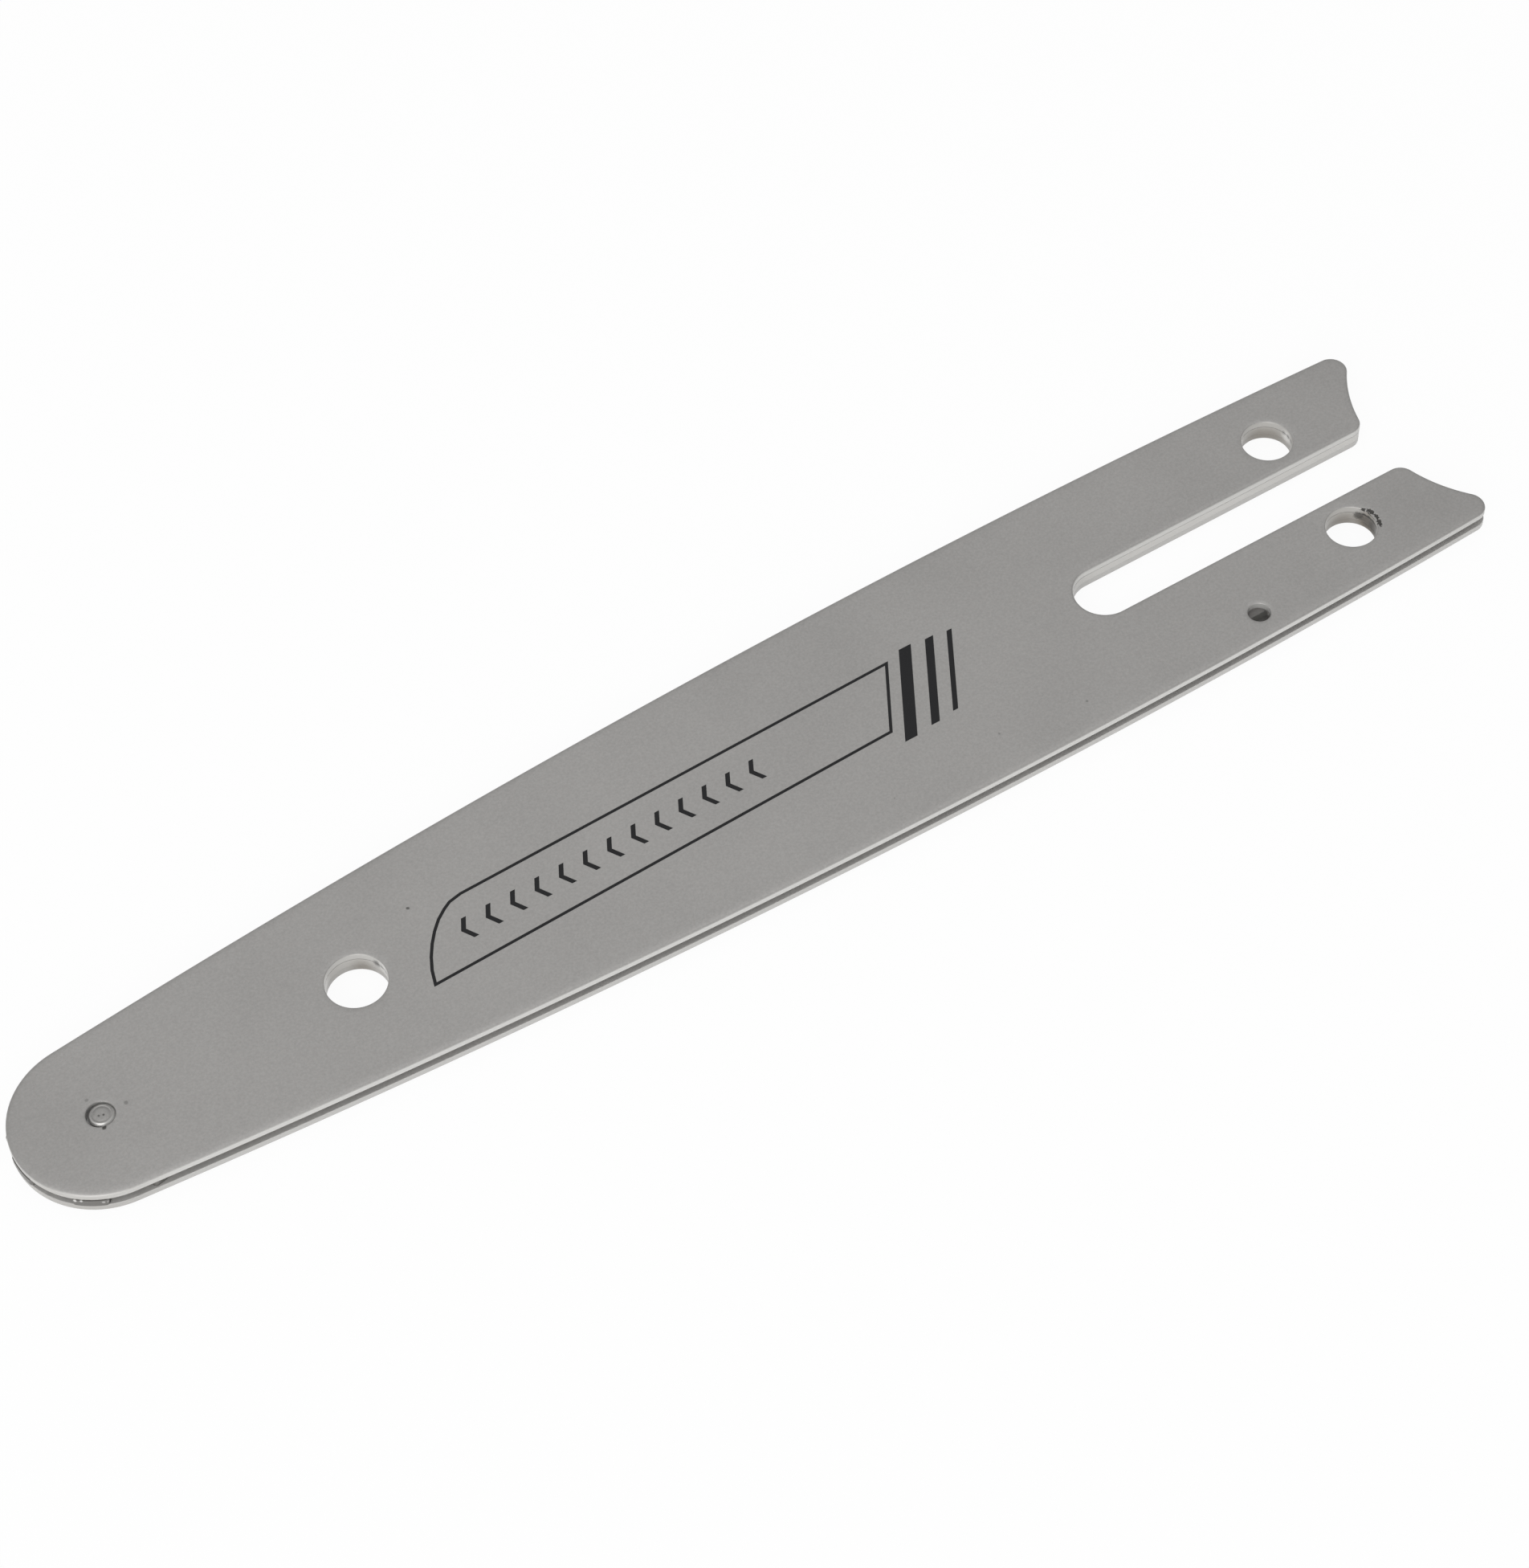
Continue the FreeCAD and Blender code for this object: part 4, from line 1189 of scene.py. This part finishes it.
def slanted_bar(x, width, reach):
    """The outline of a slanted bar."""
    shift = BAR_SLANT * reach
    return [
        (x - shift, -reach),
        (x - shift - width, -reach),
        (x + shift - width, reach),
        (x + shift, reach),
    ]


class GUIDEBAR_OT_face_marking(bpy.types.Operator):
    """Prints the plain line marking on the upper face: a thin frame with chevrons in it, and slanted bars"""

    bl_idname = "guide_bar.face_marking"
    bl_label = "Face Marking"
    bl_options = {"REGISTER", "UNDO"}

    def execute(self, context):
        lines = marking()
        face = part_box("top_side_plate")[1].z
        low, high = face - (1 + INK_SUNK) * lines.ink_height, face
        bm = bmesh.new()
        framed_line(bm, FRAME_LINE, lines.line_width / MM, low, high)
        pitch = lines.chevron_pitch / MM
        strokes = [chevron(CHEVRONS_START - i * pitch, lines) for i in range(lines.chevron_count)]
        strokes += [slanted_bar(*bar) for bar in SLANTED_BARS]
        for stroke in strokes:
            stroke_solid(bm, stroke, low, high)
        piece = new_piece("face_marking", bm, smooth=False)
        give(piece, [ink("Printed ink")], "bar")
        return {"FINISHED"}


# The floor: its radius in metres, how far it lies below the bar, and how pale it is where light falls on it.
FLOOR_RADIUS = 12.0
FLOOR_FACETS = 64
FLOOR_DROP = 0.05
FLOOR_PAPER = 0.8

# The lamps: name, azimuth from the side across from the camera and elevation in degrees, and distance and
# width in metres.
LAMPS = [
    ("Key soft box", 10, 84, 1.5, 1.6),
    ("Front light", 165, 22, 1.6, 1.6),
    ("Side light", 80, 38, 1.6, 0.9),
]

# The world's light at the horizon, as a share of that overhead.
HORIZON_SHARE = 0.8

# The point that the camera looks at, the width that its lens is measured on, and its nearest reach in metres.
CAMERA_TARGET = (0.560, 2.282, 3.4)
SENSOR_WIDTH = 36.0
CLIP_START = 0.01

WHITE = (1.0, 1.0, 1.0, 1.0)


def direction_from(azimuth, elevation):
    """Unit vector from the bar to a place round it. Azimuth 0 is the -Y side, and 90 degrees the nose's."""
    level = math.cos(elevation)
    return Vector((math.sin(azimuth) * level, -math.cos(azimuth) * level, math.sin(elevation)))


def look_along(back, roll=0.0):
    """Rotation of a camera or lamp whose back points along a vector."""
    return back.to_track_quat("Z", "Y") @ Matrix.Rotation(roll, 4, "Z").to_quaternion()


def soft_box(name, azimuth, elevation, distance, width, level):
    """A square lamp that faces the bar. Its level is its brightness, where 1 is plain white."""
    light = bpy.data.lights.new(name, "AREA")
    light.shape = "SQUARE"
    light.size = width
    light.energy = level * math.pi * width**2
    lamp = bpy.data.objects.new(name, light)
    back = direction_from(math.radians(azimuth), math.radians(elevation))
    lamp.location = back * distance
    lamp.rotation_mode = "QUATERNION"
    lamp.rotation_quaternion = look_along(back)
    bpy.context.scene.collection.objects.link(lamp)


def white_floor_material():
    """A pale floor that camera, reflections and glass see as nearly plain white, and that keeps shadows."""
    material = bpy.data.materials.new("Pale floor")
    tree = cleared(material)
    path = tree.nodes.new("ShaderNodeLightPath").outputs
    seen = combine(tree, "MAXIMUM", path["Is Camera Ray"], path["Is Glossy Ray"])
    seen = combine(tree, "MAXIMUM", seen, path["Is Transmission Ray"])
    paper = add_node(tree, "ShaderNodeBsdfDiffuse", {"Color": (FLOOR_PAPER, FLOOR_PAPER, FLOOR_PAPER, 1.0)})
    white = add_node(tree, "ShaderNodeEmission", {"Color": WHITE, "Strength": 1.0})
    amount = combine(tree, "MULTIPLY", seen, studio().floor_white)
    mixed = add_node(tree, "ShaderNodeMixShader", {0: amount, 1: paper.outputs[0], 2: white.outputs[0]})
    add_node(tree, "ShaderNodeOutputMaterial", {"Surface": mixed.outputs[0]})
    return material


def studio_world():
    """Light from all round, a little weaker at the horizon and below it."""
    world = bpy.data.worlds.new("Even studio light")
    tree = cleared(world)
    way = add_node(tree, "ShaderNodeTexCoord").outputs["Generated"]
    up = add_node(tree, "ShaderNodeSeparateXYZ", {0: way}).outputs[2]
    level = combine(tree, "MULTIPLY", ramp(tree, up, 0.0, 1.0, HORIZON_SHARE, 1.0), studio().world_level)
    light = add_node(tree, "ShaderNodeBackground", {"Color": WHITE, "Strength": level})
    add_node(tree, "ShaderNodeOutputWorld", {"Surface": light.outputs[0]})
    return world


def photograph_camera():
    """A camera at the photograph's angle, linked to the scene."""
    setup = studio()
    lens = bpy.data.cameras.new("Photograph camera")
    lens.lens = setup.lens
    lens.sensor_width = SENSOR_WIDTH
    lens.clip_start = CLIP_START
    camera = bpy.data.objects.new("Photograph camera", lens)
    back = direction_from(setup.azimuth, setup.elevation)
    camera.location = Vector([value * MM for value in CAMERA_TARGET]) + back * setup.distance
    camera.rotation_mode = "QUATERNION"
    camera.rotation_quaternion = look_along(back, setup.roll)
    bpy.context.scene.collection.objects.link(camera)
    return camera


class GUIDEBAR_OT_studio(bpy.types.Operator):
    """Sets up the pale floor, the soft lights, the world and the camera at the photograph's angle"""

    bl_idname = "guide_bar.studio"
    bl_label = "Studio"
    bl_options = {"REGISTER", "UNDO"}

    def execute(self, context):
        setup = studio()
        scene = context.scene
        bm = bmesh.new()
        bmesh.ops.create_circle(bm, cap_ends=True, radius=FLOOR_RADIUS, segments=FLOOR_FACETS)
        floor = new_piece("studio_floor", bm, smooth=False)
        floor.location.z = -FLOOR_DROP * MM
        floor.data.materials.append(white_floor_material())
        across = math.degrees(setup.azimuth) + 180
        levels = (setup.key_level, setup.front_level, setup.side_level)
        for (name, azimuth, elevation, distance, width), level in zip(LAMPS, levels):
            soft_box(name, across + azimuth, elevation, distance, width, level)
        scene.world = studio_world()
        scene.camera = photograph_camera()
        scene.view_settings.view_transform = "Standard"
        return {"FINISHED"}


OPERATORS = (
    GUIDEBAR_OT_side_plates,
    GUIDEBAR_OT_core_plate,
    GUIDEBAR_OT_nose_sprocket,
    GUIDEBAR_OT_nose_bearing,
    GUIDEBAR_OT_nose_rivet,
    GUIDEBAR_OT_face_marking,
    GUIDEBAR_OT_studio,
)


class GUIDEBAR_PT_panel(bpy.types.Panel):
    """Lists the guide bar's steps and what can be changed"""

    bl_idname = "GUIDEBAR_PT_panel"
    bl_label = "Guide Bar"
    bl_space_type = "VIEW_3D"
    bl_region_type = "UI"
    bl_category = "Guide Bar"

    def draw(self, context):
        for operator in OPERATORS:
            self.layout.operator(operator.bl_idname)
        for name, group in GROUPS.items():
            box = self.layout.box()
            box.label(text=group.__doc__)
            for key in group.__annotations__:
                box.prop(getattr(context.scene, name), key)


GROUPS = {
    "guide_bar_edges": GuideBarEdges,
    "guide_bar_finish": GuideBarFinish,
    "guide_bar_marking": GuideBarMarking,
    "guide_bar_studio": GuideBarStudio,
}


def register():
    for cls in (*GROUPS.values(), *OPERATORS, GUIDEBAR_PT_panel):
        bpy.utils.register_class(cls)
    for name, group in GROUPS.items():
        setattr(bpy.types.Scene, name, bpy.props.PointerProperty(type=group))


def unregister():
    for name in GROUPS:
        delattr(bpy.types.Scene, name)
    for cls in reversed((*GROUPS.values(), *OPERATORS, GUIDEBAR_PT_panel)):
        bpy.utils.unregister_class(cls)


def main():
    register()
    for operator in OPERATORS:
        group, name = operator.bl_idname.split(".")
        getattr(getattr(bpy.ops, group), name)()


if __name__ == "__main__":
    main()
